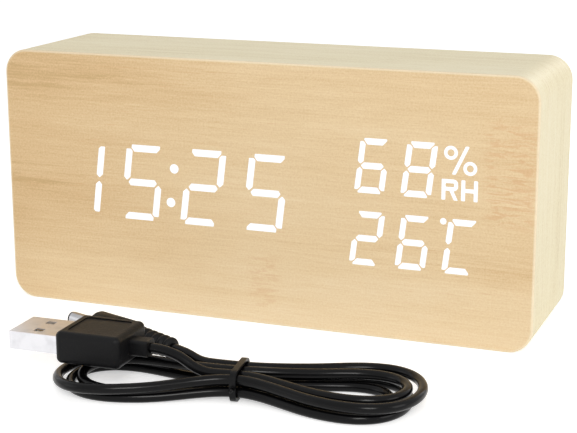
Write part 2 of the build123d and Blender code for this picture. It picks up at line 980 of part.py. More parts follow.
def battery_contacts():
    """Returns the six contact plates at the ends of the cell rows."""
    half = contact_side / 2
    y = bay_floor + (bay_depth - contact_side) / 2
    plates = []
    for z in bay_row_levels():
        for left in (bay_left, bay_right - contact_thickness):
            plates.append(block(left, left + contact_thickness, y, y + contact_side, z - half, z + half))
    return plates


# Tubes along biarcs


def biarc(start, start_heading, end, end_heading):
    """Returns two arcs that join two points with the given unit headings."""
    chord = end - start
    a = 2 * (1 - start_heading.dot(end_heading))
    b = 2 * chord.dot(start_heading + end_heading)
    c = chord.dot(chord)
    reach = (sqrt(b * b + 4 * a * c) - b) / (2 * a) if a > 1e-6 else c / b
    first = start + start_heading * reach
    second = end - end_heading * reach
    join = (first + second) * 0.5
    pieces = []
    for tail, tip, heading in ((start, join, start_heading), (join, end, second - first)):
        straight = (tip - tail).cross(heading).length < 1e-5 * (tip - tail).length * heading.length
        pieces.append(Line(tail, tip) if straight else TangentArc(tail, tip, tangent=heading))
    return pieces


def biarc_path(places, headings):
    """Returns one smooth wire through a list of places with their headings."""
    edges = []
    for index in range(len(places) - 1):
        edges += biarc(places[index], headings[index], places[index + 1], headings[index + 1])
    return edges


def tube(edges, diameter):
    """Returns a round tube swept along joined edges."""
    path = Wire([edge for piece in edges for edge in piece.edges()])
    start = Plane(origin=path.position_at(0), z_dir=path.tangent_at(0))
    return sweep(start * Circle(diameter / 2), path=path)


def contact_spring(x, z, inward):
    """Returns one coil spring along X, standing on its contact plate."""
    radius = (spring_diameter - spring_wire_diameter) / 2
    middle_y = bay_floor + bay_depth / 2
    rise = spring_length - spring_wire_diameter
    steps = 4 * spring_turns
    places, headings = [], []
    for step in range(steps + 1):
        angle = pi / 2 * step
        along = x + inward * (spring_gap + spring_wire_diameter / 2 + rise * step / steps)
        places.append(Vector(along, middle_y + radius * cos(angle), z + radius * sin(angle)))
        climb = inward * rise / (2 * pi * spring_turns)
        headings.append(Vector(climb, -radius * sin(angle), radius * cos(angle)).normalized())
    return tube(biarc_path(places, headings), spring_wire_diameter)


def battery_springs():
    """Returns the three springs, at alternate ends of the cell rows."""
    springs = []
    for row, z in enumerate(bay_row_levels()):
        if row % 2:
            springs.append(contact_spring(bay_right - contact_thickness, z, -1))
        else:
            springs.append(contact_spring(bay_left + contact_thickness, z, 1))
    return springs


def battery_wire(z):
    """Returns one wire from a contact plate, through the bay's wall, down to the main board."""
    start = (bay_right, battery_wire_y, z)
    bend = (main_board_left + battery_wire_landing, battery_wire_y, z)
    end = (main_board_left + battery_wire_landing, main_board_rear, z)
    path = FilletPolyline(start, bend, end, radius=battery_wire_bend_radius)
    return tube([path], battery_wire_diameter)


# Main board


def main_board():
    """Returns the main circuit board."""
    outline = limits_outline(
        main_board_left, main_board_right, main_board_bottom, main_board_top, board_corner_radius,
    )
    board = plate(outline, main_board_front, main_board_rear)
    diameter = board_screw_shank + screw_clearance
    return board - [
        post(diameter, x, z, main_board_front - cut_overrun, main_board_rear + cut_overrun)
        for x, z in main_screw_places()
    ]


plunger_end = main_board_rear + switch_height + plunger_proud


def switch_housing(x, z):
    """Returns the fixed part of one push switch."""
    half = switch_side / 2
    top = main_board_rear + switch_height
    housing = block(x - half, x + half, main_board_rear, top, z - half, z + half)
    floor_level = top - plunger_engagement - button_travel - plunger_gap
    return housing - post(plunger_diameter + 2 * plunger_gap, x, z, floor_level, top + cut_overrun)


def switch_plunger(x, z):
    """Returns the moving plunger of one push switch."""
    return post(plunger_diameter, x, z, plunger_end - plunger_proud - plunger_engagement, plunger_end)


def button_cap(x, z):
    """Returns one button with its flange and stem, resting on the plunger."""
    flange_top = cover_inner - button_flange_gap
    flange_floor = flange_top - button_flange_thickness
    cap = post(button_diameter, x, z, flange_floor, cover_outer + button_proud)
    cap = fillet(cap.faces().sort_by(Axis.Y)[-1].edges(), button_edge_fillet)
    cap += post(button_flange_diameter, x, z, flange_floor, flange_top)
    return cap + post(button_stem_diameter, x, z, plunger_end, flange_floor)


def dc_inlet():
    """Returns the housing of the power inlet with its bore."""
    half = inlet_side / 2
    back = cover_inner - inlet_back_gap
    nose_end = cover_outer - inlet_nose_set_back
    housing = block(
        inlet_x - half, inlet_x + half, main_board_rear, back, inlet_z - half, inlet_z + half,
    )
    housing += post(inlet_nose_diameter, inlet_x, inlet_z, back, nose_end)
    return housing - post(
        inlet_bore_diameter, inlet_x, inlet_z, nose_end - inlet_bore_depth, nose_end + cut_overrun,
    )


def dc_inlet_pin():
    """Returns the pin in the middle of the inlet."""
    nose_end = cover_outer - inlet_nose_set_back
    pin_end = nose_end - inlet_pin_set_back
    return post(inlet_pin_diameter, inlet_x, inlet_z, nose_end - inlet_bore_depth, pin_end)


def humidity_sensor():
    """Returns the slotted box that holds the humidity and temperature sensor."""
    back = main_board_rear + sensor_thickness
    body = block(
        sensor_x - sensor_width / 2, sensor_x + sensor_width / 2, main_board_rear, back,
        sensor_z - sensor_height / 2, sensor_z + sensor_height / 2,
    )
    pitch = sensor_height / (sensor_slot_count + 1)
    for place in range(sensor_slot_count):
        z = sensor_z - sensor_height / 2 + pitch * (place + 1)
        half = sensor_slot_width / 2
        body -= block(
            sensor_x - sensor_width / 3, sensor_x + sensor_width / 3,
            back - sensor_slot_depth, back + cut_overrun, z - half, z + half,
        )
    return body


def buzzer():
    """Returns the round sounder with its sound hole."""
    top = main_board_rear + buzzer_height
    body = post(buzzer_diameter, buzzer_x, buzzer_z, main_board_rear, top)
    hole_floor = top - buzzer_hole_depth
    return body - post(buzzer_hole_diameter, buzzer_x, buzzer_z, hole_floor, top + cut_overrun)


def control_chips():
    """Returns the controller on the main board and the driver on the display board."""
    half = chip_side / 2
    controller = block(
        chip_x - half, chip_x + half, main_board_front - chip_thickness, main_board_front,
        chip_z - half, chip_z + half,
    )
    driver = block(
        -chip_x - half, -chip_x + half, display_board_rear, display_board_rear + chip_thickness,
        chip_z - half, chip_z + half,
    )
    return [controller, driver]


def clock_crystal():
    """Returns the round crystal can that keeps the time."""
    can = Cylinder(crystal_diameter / 2, crystal_length)
    return Pos(crystal_x, main_board_front - crystal_diameter / 2, crystal_z) * can


holder_floor = main_board_front - (holder_height - coin_thickness) + thread_clearance


def coin_holder():
    """Returns the round holder of the backup cell, open to the front, with a notch for a finger."""
    front = main_board_front - holder_height
    ring = post(holder_diameter, holder_x, holder_z, front, main_board_front)
    ring -= post(coin_diameter + 2 * coin_gap, holder_x, holder_z, front - cut_overrun, holder_floor)
    half = holder_notch_width / 2
    return ring - block(
        holder_x - half, holder_x + half, front - cut_overrun, holder_floor,
        holder_z, holder_z + holder_diameter,
    )


def coin_cell():
    """Returns the backup cell, seated in its holder."""
    return post(coin_diameter, holder_x, holder_z, holder_floor - coin_thickness, holder_floor)


def ribbon_connectors():
    """Returns the two connectors of the ribbon cable."""
    half = connector_width / 2
    tall = connector_height / 2
    left, right = connector_x - half, connector_x + half
    return [
        block(
            left, right, display_board_rear, display_board_rear + connector_depth,
            display_connector_z - tall, display_connector_z + tall,
        ),
        block(
            left, right, main_board_front - connector_depth, main_board_front,
            main_connector_z - tall, main_connector_z + tall,
        ),
    ]


def ribbon_cable():
    """Returns the flat cable, bent up from one connector to the other."""
    start = display_board_rear + connector_depth
    end = main_board_front - connector_depth
    middle = (start + end) / 2
    path = FilletPolyline(
        (start, display_connector_z), (middle, display_connector_z),
        (middle, main_connector_z), (end, main_connector_z),
        radius=(end - start) / 2 * ribbon_bend_share,
    )
    strip = Plane.YZ.offset(connector_x - ribbon_width / 2) * trace(path, line_width=ribbon_thickness)
    return extrude(strip, ribbon_width, dir=(1, 0, 0))


# Charging lead, drawn flat about its tie and then laid on the surface

strand_pitch = cord_diameter + strand_gap
waist_lift = tie_thickness + tie_clearance
strand_level = cord_diameter / 2 + hank_rest_gap


def smooth(share, start, end):
    """Returns a share of the way from 0 to 1 that starts and ends level."""
    part = min(max((share - start) / (end - start), 0), 1)
    return part * part * (3 - 2 * part)


def pinch(share):
    """Returns how far the strands have spread at a share of the way out from the tie."""
    return sqrt(share * share + pinch_share * pinch_share) - pinch_share


def hank_point(turn):
    """Returns a point of the hank, turn being counted in half loops from the first strand."""
    index = floor(turn)
    part = turn - index
    reach = hank_reach * reach_shares[index]
    half_width = hank_half_width * half_width_shares[index]
    column = strand_pitch * column_shares[index]
    next_column = strand_pitch * column_shares[index + 1]
    waist = column + (next_column - column) * smooth(part, 0, 1)
    widest = sqrt(1 / 2)
    spread = half_width / widest - (column + next_column) / 2
    spread /= pinch(reach * widest / hank_spread_length)
    angle = pi * (turn - 1 / 2)
    out = reach * cos(angle)
    across = sin(angle) * (waist + spread * pinch(out / hank_spread_length))
    layer, next_layer = layer_shares[index], layer_shares[index + 1]
    climb = layer + (next_layer - layer) * smooth(part, climb_start_share, climb_end_share)
    lift = waist_lift * (1 - smooth(abs(out) / hank_spread_length, 0, lift_end_share))
    return Vector(out, across, strand_level + strand_pitch * climb + lift)


def hank_heading(turn):
    """Returns the direction of the hank at a point."""
    step = 1e-4
    return (hank_point(turn + step) - hank_point(max(turn - step, 0))).normalized()


def hank_path():
    """Returns the edges of the hank, with a short straight tail at each end."""
    full_turns = len(reach_shares) - 1
    turns = [step / stations_per_half_loop for step in range(full_turns * stations_per_half_loop + 1)]
    turns.append(full_turns + last_turn_share)
    places = [hank_point(turn) for turn in turns]
    headings = [Vector(1, 0, 0)] + [hank_heading(turn) for turn in turns[1:]]
    middle = biarc_path(places, headings)
    return [Line(hank_start, places[0])] + middle + [Line(places[-1], hank_end)]


def print_least_gap(edges):
    """Prints the hank's length and its least gap to itself, measured on points of its path."""
    samples = []
    travelled = 0.0
    for edge in edges:
        count = max(2, round(edge.length / cord_diameter * 3))
        for number in range(count):
            samples.append((travelled + edge.length * number / count, edge @ (number / count)))
        travelled += edge.length
    apart = 4 * cord_diameter
    least = min(
        (here - there).length
        for i, (place, here) in enumerate(samples)
        for other, there in samples[i + 1:]
        if other - place > apart
    )
    print(f"hank length {travelled:.1f}, least gap to itself {least - cord_diameter:.2f}")


def unit(yaw, pitch):
    """Returns the direction at a yaw and a pitch in degrees."""
    turn, rise = radians(yaw), radians(pitch)
    return Vector(cos(rise) * cos(turn), cos(rise) * sin(turn), sin(rise))


hank_last_turn = len(reach_shares) - 1 + last_turn_share
hank_start = hank_point(0) - Vector(hank_tail, 0, 0)
hank_end = hank_point(hank_last_turn) + hank_heading(hank_last_turn) * hank_tail
usb_axis_z = hank_rest_gap + cord_diameter + strand_pitch + usb_seat_gap + usb_grip_height / 2
usb_end = Vector(usb_end_x, usb_end_y, usb_axis_z)
dc_end = Vector(dc_end_x, dc_end_y, dc_end_z)
# The leads' routes are chosen by hand, from the tie to the plugs.
usb_route = [
    hank_start,
    Vector(-9.3, -1.5, 5.39),
    Vector(-16.2, -0.21, 9.81),
    usb_end,
]
dc_route = [
    hank_end,
    Vector(-11.7, 7.16, 4.86),
    Vector(-16.0, 9.2, 6.3),
    dc_end,
]


def corner_radii(route):
    """Returns the largest arc that the two runs at each corner of a route allow."""
    radii = []
    for before, corner, after in zip(route, route[1:], route[2:]):
        turn = radians((corner - before).get_angle(after - corner))
        run = min((corner - before).length, (after - corner).length)
        radii.append(0.45 * run / tan(turn / 2))
    return radii


def lead(name, route):
    """Returns a free stretch of the cord, and prints its bends and how its volume compares."""
    radii = corner_radii(route)
    path = FilletPolyline(*route, radius=radii)
    solid = tube([path], cord_diameter)
    section = pi * cord_diameter ** 2 / 4
    bends = ", ".join(f"{radius:.1f}" for radius in radii)
    print(f"{name} length {path.length:.1f}, radii {bends}, volume over section and length "
          f"{solid.volume / section / path.length:.4f}")
    return solid


def cord_tie():
    """Returns the band that holds the strands together."""
    columns = 2 * strand_pitch * max(column_shares) + cord_diameter
    layers = strand_pitch * max(layer_shares) + cord_diameter
    inner_width = columns + 2 * tie_clearance
    inner_height = layers + 2 * tie_clearance
    radius = cord_diameter / 2 + tie_clearance
    outer = RectangleRounded(
        inner_width + 2 * tie_thickness, inner_height + 2 * tie_thickness, radius + tie_thickness,
    )
    ring = outer - RectangleRounded(inner_width, inner_height, radius)
    middle = Plane.YZ.offset(-tie_width / 2) * Pos(0, tie_thickness + inner_height / 2) * ring
    return extrude(middle, tie_width, dir=(1, 0, 0))


def at_end(end, yaw, pitch):
    """Returns the place of a plug drawn along +X from the point where its cord enters."""
    up = unit(yaw, pitch + 90)
    return Plane(origin=end, x_dir=unit(yaw, pitch), z_dir=up).location


def soft_block(start, length, width, height, radius):
    """Returns a box along X with all its edges rounded."""
    body = Pos(start + length / 2, 0, 0) * Box(length, width, height)
    return fillet(body.edges(), radius)


usb_grip_start = usb_boot_length
usb_grip_end = usb_grip_start + usb_grip_length
usb_tip = usb_grip_end + usb_shell_length
usb_pocket = usb_grip_end - usb_shell_buried


def usb_shell_block(width, height, start, end):
    """Returns the inside or the outside of the metal shell as a solid."""
    return Pos((start + end) / 2, 0, 0) * Box(end - start, width, height)


def usb_overmold():
    """Returns the soft grip of the flat plug with its short boot and a sunk panel on each side."""
    grip = soft_block(usb_grip_start, usb_grip_length, usb_grip_width, usb_grip_height, usb_grip_fillet)
    boot = Pos(usb_boot_length / 2, 0, 0) * Box(
        usb_boot_length + 2 * usb_grip_fillet, usb_boot_width, usb_boot_height,
    )
    boot = fillet(boot.edges().filter_by(Axis.X), usb_boot_fillet)
    boot -= Pos(-usb_grip_fillet, 0, 0) * Box(2 * usb_grip_fillet, usb_grip_width, usb_grip_height)
    grip += boot
    panel_length = usb_grip_length - 2 * usb_panel_margin
    panel_width = usb_grip_width - 2 * usb_panel_margin
    for side in (-1, 1):
        level = side * (usb_grip_height / 2 - usb_panel_depth / 2)
        panel = Box(panel_length, panel_width, usb_panel_depth)
        panel = fillet(panel.edges().filter_by(Axis.Z), usb_grip_fillet)
        grip -= Pos(usb_grip_start + usb_grip_length / 2, 0, level) * panel
    return grip - usb_shell_block(usb_shell_width, usb_shell_height, usb_pocket, usb_tip)


def usb_shell():
    """Returns the metal shell of the flat plug, with two windows above and two below."""
    shell = usb_shell_block(usb_shell_width, usb_shell_height, usb_pocket, usb_tip)
    inner_width = usb_shell_width - 2 * usb_shell_wall
    inner_height = usb_shell_height - 2 * usb_shell_wall
    shell -= usb_shell_block(inner_width, inner_height, usb_pocket - cut_overrun, usb_tip + cut_overrun)
    for side in (-1, 1):
        shell -= Pos(usb_tip - usb_window_from_tip, side * usb_window_spacing / 2, 0) * Box(
            usb_window_length, usb_window_width, usb_shell_height + cut_overrun,
        )
    return shell


usb_tongue_floor = -usb_shell_height / 2 + usb_shell_wall + usb_tongue_gap
usb_tongue_end = usb_tip - usb_tongue_set_back


def usb_tongue():
    """Returns the plastic tongue inside the shell."""
    width = usb_shell_width - 2 * usb_shell_wall - 2 * usb_tongue_gap
    level = usb_tongue_floor + usb_tongue_height / 2
    length = usb_tongue_end - usb_pocket
    return Pos(usb_pocket + length / 2, 0, level) * Box(length, width, usb_tongue_height)


def usb_contacts():
    """Returns the flat contacts on the tongue."""
    level = usb_tongue_floor + usb_tongue_height + usb_contact_thickness / 2
    strips = []
    for place in range(usb_contact_count):
        across = (place - (usb_contact_count - 1) / 2) * usb_contact_pitch
        strip = Box(usb_contact_length, usb_contact_width, usb_contact_thickness)
        strips.append(Pos(usb_tongue_end - usb_contact_length / 2, across, level) * strip)
    return strips


dc_body_start = relief_length
dc_body_end = dc_body_start + dc_body_length


def dc_body():
    """Returns the moulded body of the round plug with its ribbed, tapered strain relief."""
    radius_growth = (relief_root_diameter - relief_end_diameter) / 2 / relief_length
    step = relief_length / relief_rib_count / 4
    points = [(0, 0), (0, relief_end_diameter / 2)]
    for rib in range(relief_rib_count):
        start = 4 * step * rib
        for part, depth in ((2, 0), (2.5, relief_groove_depth), (3.5, relief_groove_depth), (4, 0)):
            x = start + part * step
            points.append((x, relief_end_diameter / 2 + radius_growth * x - depth))
    radius = dc_body_diameter / 2
    points += [
        (dc_body_start, radius - dc_body_chamfer / 2),
        (dc_body_start + dc_body_chamfer / 2, radius),
        (dc_body_end - dc_body_chamfer, radius),
        (dc_body_end, radius - dc_body_chamfer),
        (dc_body_end, 0),
    ]
    return revolve(make_face(Polyline(*points, close=True)), Axis.X)


def tube_along_x(outer, inner, start, end):
    """Returns a straight tube along X."""
    length = end - start
    ring = Cylinder(outer / 2, length) - Cylinder(inner / 2, length)
    return Pos((start + end) / 2, 0, 0) * Rot(Y=90) * ring


def dc_insulator():
    """Returns the black sleeve inside the barrel, with a lip past its end."""
    barrel_end = dc_body_end + dc_barrel_length
    sleeve = tube_along_x(dc_barrel_bore, dc_pin_bore, dc_body_end, barrel_end)
    return sleeve + tube_along_x(dc_lip_diameter, dc_pin_bore, barrel_end, barrel_end + dc_lip_length)


hank_place = Pos(hank_x, hank_y, 0) * Rot(Z=hank_yaw)
usb_place = hank_place * at_end(usb_end, usb_yaw, 0)
dc_place = hank_place * at_end(dc_end, dc_yaw, dc_pitch)

hank_edges = hank_path()
print_least_gap(hank_edges)

save("front_veneer", front_veneer())
save("side_veneer", side_veneer())
save("base_veneer", base_veneer())
save("front_board", front_board())
save("case_frame", case_frame())
save("back_cover", back_cover())
save("cover_screws", group([cover_screw(x, z) for x, z in cover_screw_places()]))
save("battery_door", battery_door())
save("battery_contacts", group(battery_contacts()))
save("battery_springs", group(battery_springs()))
save("battery_wire_red", battery_wire(battery_wire_levels[1]))
save("battery_wire_black", battery_wire(battery_wire_levels[0]))
save("display_reflector", display_reflector())
save("time_segments", group(light_guides(lit_time)))
save("humidity_segments", group(light_guides(lit_humidity) + holed_guides()))
save("temperature_segments", group(light_guides(lit_temperature)))
save("unlit_segments", group([plate(flat, veneer_back, guide_back) for flat in unlit]))
save("display_board", display_board())
save("display_leds", group(display_leds()))
display_screws = [
    board_screw(x, z, display_board_rear, display_screw_length, -1) for x, z in display_screw_places()
]
save("display_screws", group(display_screws))
save("main_board", main_board())
main_screws = [board_screw(x, z, main_board_front, main_screw_length, 1) for x, z in main_screw_places()]
save("main_board_screws", group(main_screws))
save("button_switches", group([switch_housing(x, z) for x, z in button_places]))
for name, (x, z) in zip(("set", "up", "down"), button_places):
    save(f"{name}_button", button_cap(x, z))
    save(f"{name}_plunger", switch_plunger(x, z))
save("dc_inlet", dc_inlet())
save("dc_inlet_pin", dc_inlet_pin())
save("microphone", post(
    microphone_diameter, microphone_x, microphone_z,
    main_board_rear, main_board_rear + microphone_height,
))
save("humidity_sensor", humidity_sensor())
save("buzzer", buzzer())
save("control_chips", group(control_chips()))
save("clock_crystal", clock_crystal())
save("coin_holder", coin_holder())
save("coin_cell", coin_cell())
save("ribbon_connectors", group(ribbon_connectors()))
save("ribbon_cable", ribbon_cable())
save("cord_hank", hank_place * tube(hank_edges, cord_diameter))
save("cord_lead_usb", hank_place * lead("flat plug lead", usb_route))
save("cord_lead_dc", hank_place * lead("round plug lead", dc_route))
save("cord_tie", hank_place * cord_tie())
save("usb_overmold", usb_place * usb_overmold())
save("usb_shell", usb_place * usb_shell())
save("usb_tongue", usb_place * usb_tongue())
save("usb_contacts", group([usb_place * strip for strip in usb_contacts()]))
save("dc_plug_body", dc_place * dc_body())
save("dc_plug_barrel", dc_place * tube_along_x(
    dc_barrel_diameter, dc_barrel_bore, dc_body_end, dc_body_end + dc_barrel_length,
))
save("dc_plug_insulator", dc_place * dc_insulator())
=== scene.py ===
"""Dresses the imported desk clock: its wood, its display, its back and its tied charging lead."""
import logging
from dataclasses import dataclass
from enum import Enum
from math import cos, floor, pi, radians, sin, sqrt
from typing import Callable, Iterable, Optional, Sequence, Union

import bpy
from mathutils import Matrix, Vector


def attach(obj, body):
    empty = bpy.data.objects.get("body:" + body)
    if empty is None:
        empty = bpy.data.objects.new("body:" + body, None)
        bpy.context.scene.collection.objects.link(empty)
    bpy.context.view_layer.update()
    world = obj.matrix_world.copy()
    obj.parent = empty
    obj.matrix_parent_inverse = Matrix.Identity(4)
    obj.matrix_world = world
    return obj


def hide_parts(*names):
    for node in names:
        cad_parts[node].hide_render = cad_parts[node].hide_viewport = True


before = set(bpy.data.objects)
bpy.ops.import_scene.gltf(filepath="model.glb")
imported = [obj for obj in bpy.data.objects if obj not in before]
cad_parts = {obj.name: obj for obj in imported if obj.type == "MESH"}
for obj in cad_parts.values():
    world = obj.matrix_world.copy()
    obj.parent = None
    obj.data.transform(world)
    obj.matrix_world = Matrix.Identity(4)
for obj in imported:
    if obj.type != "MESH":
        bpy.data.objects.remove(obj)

log = logging.getLogger("clock")

Colour = tuple[float, float, float, float]
Key = Union[str, int]
Span = tuple[float, float]
SoftSpan = tuple[float, float, float]

MILLIMETRES_PER_METRE = 1000.0
HALFWAY = 0.5
WHITE: Colour = (1.0, 1.0, 1.0, 1.0)

SCREEN_LEVELS = 255
SCREEN_CURVE_START = 0.04045
SCREEN_START_SLOPE = 12.92
SCREEN_CURVE_SHIFT = 0.055
SCREEN_CURVE_POWER = 2.4


def shade_of(red: int, green: int, blue: int) -> Colour:
    """Turns a colour as a screen shows it into the linear colour that shaders use.

    Args:
        red: share of red, 0 to 255.
        green: share of green, 0 to 255.
        blue: share of blue, 0 to 255.

    Returns:
        The linear colour, fully opaque.
    """
    parts = []
    for level in (red, green, blue):
        share = level / SCREEN_LEVELS
        curved = ((share + SCREEN_CURVE_SHIFT) / (1 + SCREEN_CURVE_SHIFT)) ** SCREEN_CURVE_POWER
        parts.append(share / SCREEN_START_SLOPE if share <= SCREEN_CURVE_START else curved)
    return (parts[0], parts[1], parts[2], 1.0)


@dataclass(frozen=True)
class Pattern:
    """A cloud pattern: how often it changes in a millimetre along each axis, and how fine it is."""

    along: float
    across: float
    deep: float
    detail: float = 2.0
    roughness: float = 0.5
    distortion: float = 0.0


def even(often: float, detail: float = 2.0, roughness: float = 0.5) -> Pattern:
    """Gives a pattern that changes equally often along every axis."""
    return Pattern(often, often, often, detail, roughness)


class Shade:
    """A value on its way through a finish's nodes, used like a number.

    Attributes:
        recipe: the recipe that the value belongs to.
        socket: the output that carries the value, or nothing for the node that ends a finish.
    """

    def __init__(self, recipe: "Recipe", socket: Optional[bpy.types.NodeSocket]) -> None:
        """Keeps the recipe and the output."""
        self.recipe = recipe
        self.socket = socket

    def _math(self, operation: str, first: "Number", second: "Number" = 0.0) -> "Shade":
        """Adds one Math node on one or two values."""
        return self.recipe.node("ShaderNodeMath", {"operation": operation}, {0: first, 1: second})

    def __add__(self, other: "Number") -> "Shade":
        """Adds a value."""
        return self._math("ADD", self, other)

    __radd__ = __add__

    def __sub__(self, other: "Number") -> "Shade":
        """Takes a value away."""
        return self._math("SUBTRACT", self, other)

    def __rsub__(self, other: "Number") -> "Shade":
        """Takes this value away from another."""
        return self._math("SUBTRACT", other, self)

    def __mul__(self, other: "Number") -> "Shade":
        """Multiplies by a value."""
        return self._math("MULTIPLY", self, other)

    __rmul__ = __mul__

    def __pow__(self, other: "Number") -> "Shade":
        """Raises to a power."""
        return self._math("POWER", self, other)

    def size(self) -> "Shade":
        """Gives the value without its sign."""
        return self._math("ABSOLUTE", self)

    def wave(self) -> "Shade":
        """Gives the sine of the value."""
        return self._math("SINE", self)

    def higher_of(self, other: "Number") -> "Shade":
        """Gives the higher of two values."""
        return self._math("MAXIMUM", self, other)

    def swing(self, amount: float) -> "Shade":
        """Gives how far a pattern is from its middle, times an amount."""
        return (self - HALFWAY) * amount

    def step(self, start: float, end: float) -> "Shade":
        """Rises smoothly from 0 at the start to 1 at the end, which may be the lower value."""
        settings = {"interpolation_type": "SMOOTHSTEP", "clamp": True}
        return self.recipe.node("ShaderNodeMapRange", settings, {0: self, 1: start, 2: end})

    def band(self, low: float, high: float, soft: float) -> "Shade":
        """Is 1 between two values and falls smoothly to 0 over a soft width on each side."""
        return self.step(low - soft, low) * self.step(high + soft, high)


Number = Union[Shade, float]
Value = Union[Shade, float, Sequence[float]]


class Recipe:
    """The nodes of one finish.

    Attributes:
        owner: the material or world that they make.
        MIX_FIRST: the number of the Mix node's input for its first colour.
        MIX_SECOND: the number of its input for the second colour.
        MIX_RESULT: the number of its output for the blended colour.
    """

    MIX_FIRST = 6
    MIX_SECOND = 7
    MIX_RESULT = 2

    def __init__(self, owner: Union[bpy.types.Material, bpy.types.World]) -> None:
        """Starts an empty finish for a new material or world."""
        self.owner = owner
        self.owner.use_nodes = True
        self.owner.node_tree.nodes.clear()

    def node(
        self,
        kind: str,
        settings: Optional[dict[str, object]] = None,
        values: Optional[dict[Key, Value]] = None,
        output: Key = 0,
    ) -> Shade:
        """Adds one node, sets its options first and then its sockets.

        Args:
            kind: the node's type.
            settings: its options; stops is a list of ramp positions and colours.
            values: numbers, colours or links, by the name or number of the input.
            output: the name or number of the output wanted.

        Returns:
            The chosen output.
        """
        tree = self.owner.node_tree
        node = tree.nodes.new(kind)
        for name, setting in (settings or {}).items():
            if name == "stops":
                self._set_stops(node, setting)
            else:
                setattr(node, name, setting)
        for key, value in (values or {}).items():
            if isinstance(value, Shade):
                tree.links.new(value.socket, node.inputs[key])
            else:
                node.inputs[key].default_value = value
        return Shade(self, node.outputs[output] if node.outputs else None)

    @staticmethod
    def _set_stops(node: bpy.types.Node, stops: Sequence[tuple[float, Colour]]) -> None:
        """Sets the stops of a colour ramp.

        Args:
            node: the ramp.
            stops: positions from 0 to 1 with their colours.
        """
        elements = node.color_ramp.elements
        while len(elements) < len(stops):
            elements.new(stops[-1][0])
        for element, (position, colour) in zip(elements, stops):
            element.position = position
            element.color = colour

    def position(self) -> tuple[Shade, Shade, Shade]:
        """Gives the place on the object in millimetres.

        Returns:
            The places along X, Y and Z.
        """
        place = self.node("ShaderNodeTexCoord", output="Object")
        x, y, z = (
            self.node("ShaderNodeSeparateXYZ", values={0: place}, output=axis) * MILLIMETRES_PER_METRE
            for axis in range(3)
        )
        return x, y, z

    def noise(self, pattern: Pattern, place: Sequence[Number]) -> Shade:
        """Adds a cloud pattern.

        Args:
            pattern: how often it changes and how fine it is.
            place: the place along its three axes, in millimetres.

        Returns:
            The pattern, around its middle of a half.
        """
        pace = (pattern.along, pattern.across, pattern.deep)
        vector = self.node("ShaderNodeCombineXYZ", values={
            axis: place[axis] * pace[axis] for axis in range(3)
        })
        return self.node("ShaderNodeTexNoise", values={
            "Vector": vector,
            "Scale": 1.0,
            "Detail": pattern.detail,
            "Roughness": pattern.roughness,
            "Distortion": pattern.distortion,
        })

    def ramp(self, share: Shade, stops: Sequence[tuple[float, Colour]]) -> Shade:
        """Turns a share into a colour by a ramp's positions and colours."""
        return self.node("ShaderNodeValToRGB", {"stops": stops}, {0: share})

    def blend(self, share: Number, first: Value, second: Value) -> Shade:
        """Blends two colours by the share of the second."""
        values = {0: share, self.MIX_FIRST: first, self.MIX_SECOND: second}
        return self.node("ShaderNodeMix", {"data_type": "RGBA"}, values, self.MIX_RESULT)

    def bump(self, height: Number, depth: float, strength: float) -> Shade:
        """Turns a height into a bent normal, where a height of 1 is a depth in millimetres."""
        values = {"Height": height, "Distance": depth / MILLIMETRES_PER_METRE, "Strength": strength}
        return self.node("ShaderNodeBump", values=values)

    def surface(self, values: dict[Key, Value]) -> bpy.types.Material:
        """Ends the finish with a surface shader and gives the finished material."""
        shader = self.node("ShaderNodeBsdfPrincipled", values=values)
        return self.finish(shader, "ShaderNodeOutputMaterial")

    def finish(self, shader: Shade, output: str) -> Union[bpy.types.Material, bpy.types.World]:
        """Sends a shader to an output of the type named and gives the finished material or world."""
        self.node(output, values={"Surface": shader})
        return self.owner

    def seen_as_backdrop(self) -> Shade:
        """Is 1 where the camera sees this, by itself or in metal or glass, and otherwise 0."""
        rays = ("Is Camera Ray", "Is Glossy Ray", "Is Transmission Ray")
        return sum(self.node("ShaderNodeLightPath", output=ray) for ray in rays)


class Grain(Enum):
    """Which way the grain of a sheet of veneer runs."""

    ALONG_FACE = "along the width of the face"
    AROUND_SIDES = "around the sides of the block"


@dataclass(frozen=True)
class DarkBand:
    """A darker band along the grain of the face, which fades in from one place to another."""

    level: SoftSpan
    fade: Span
    depth: float


@dataclass(frozen=True)
class RosyPatch:
    """A patch of rosy figure on the face, across its width and up its height."""

    across: SoftSpan
    up: SoftSpan
    strength: float


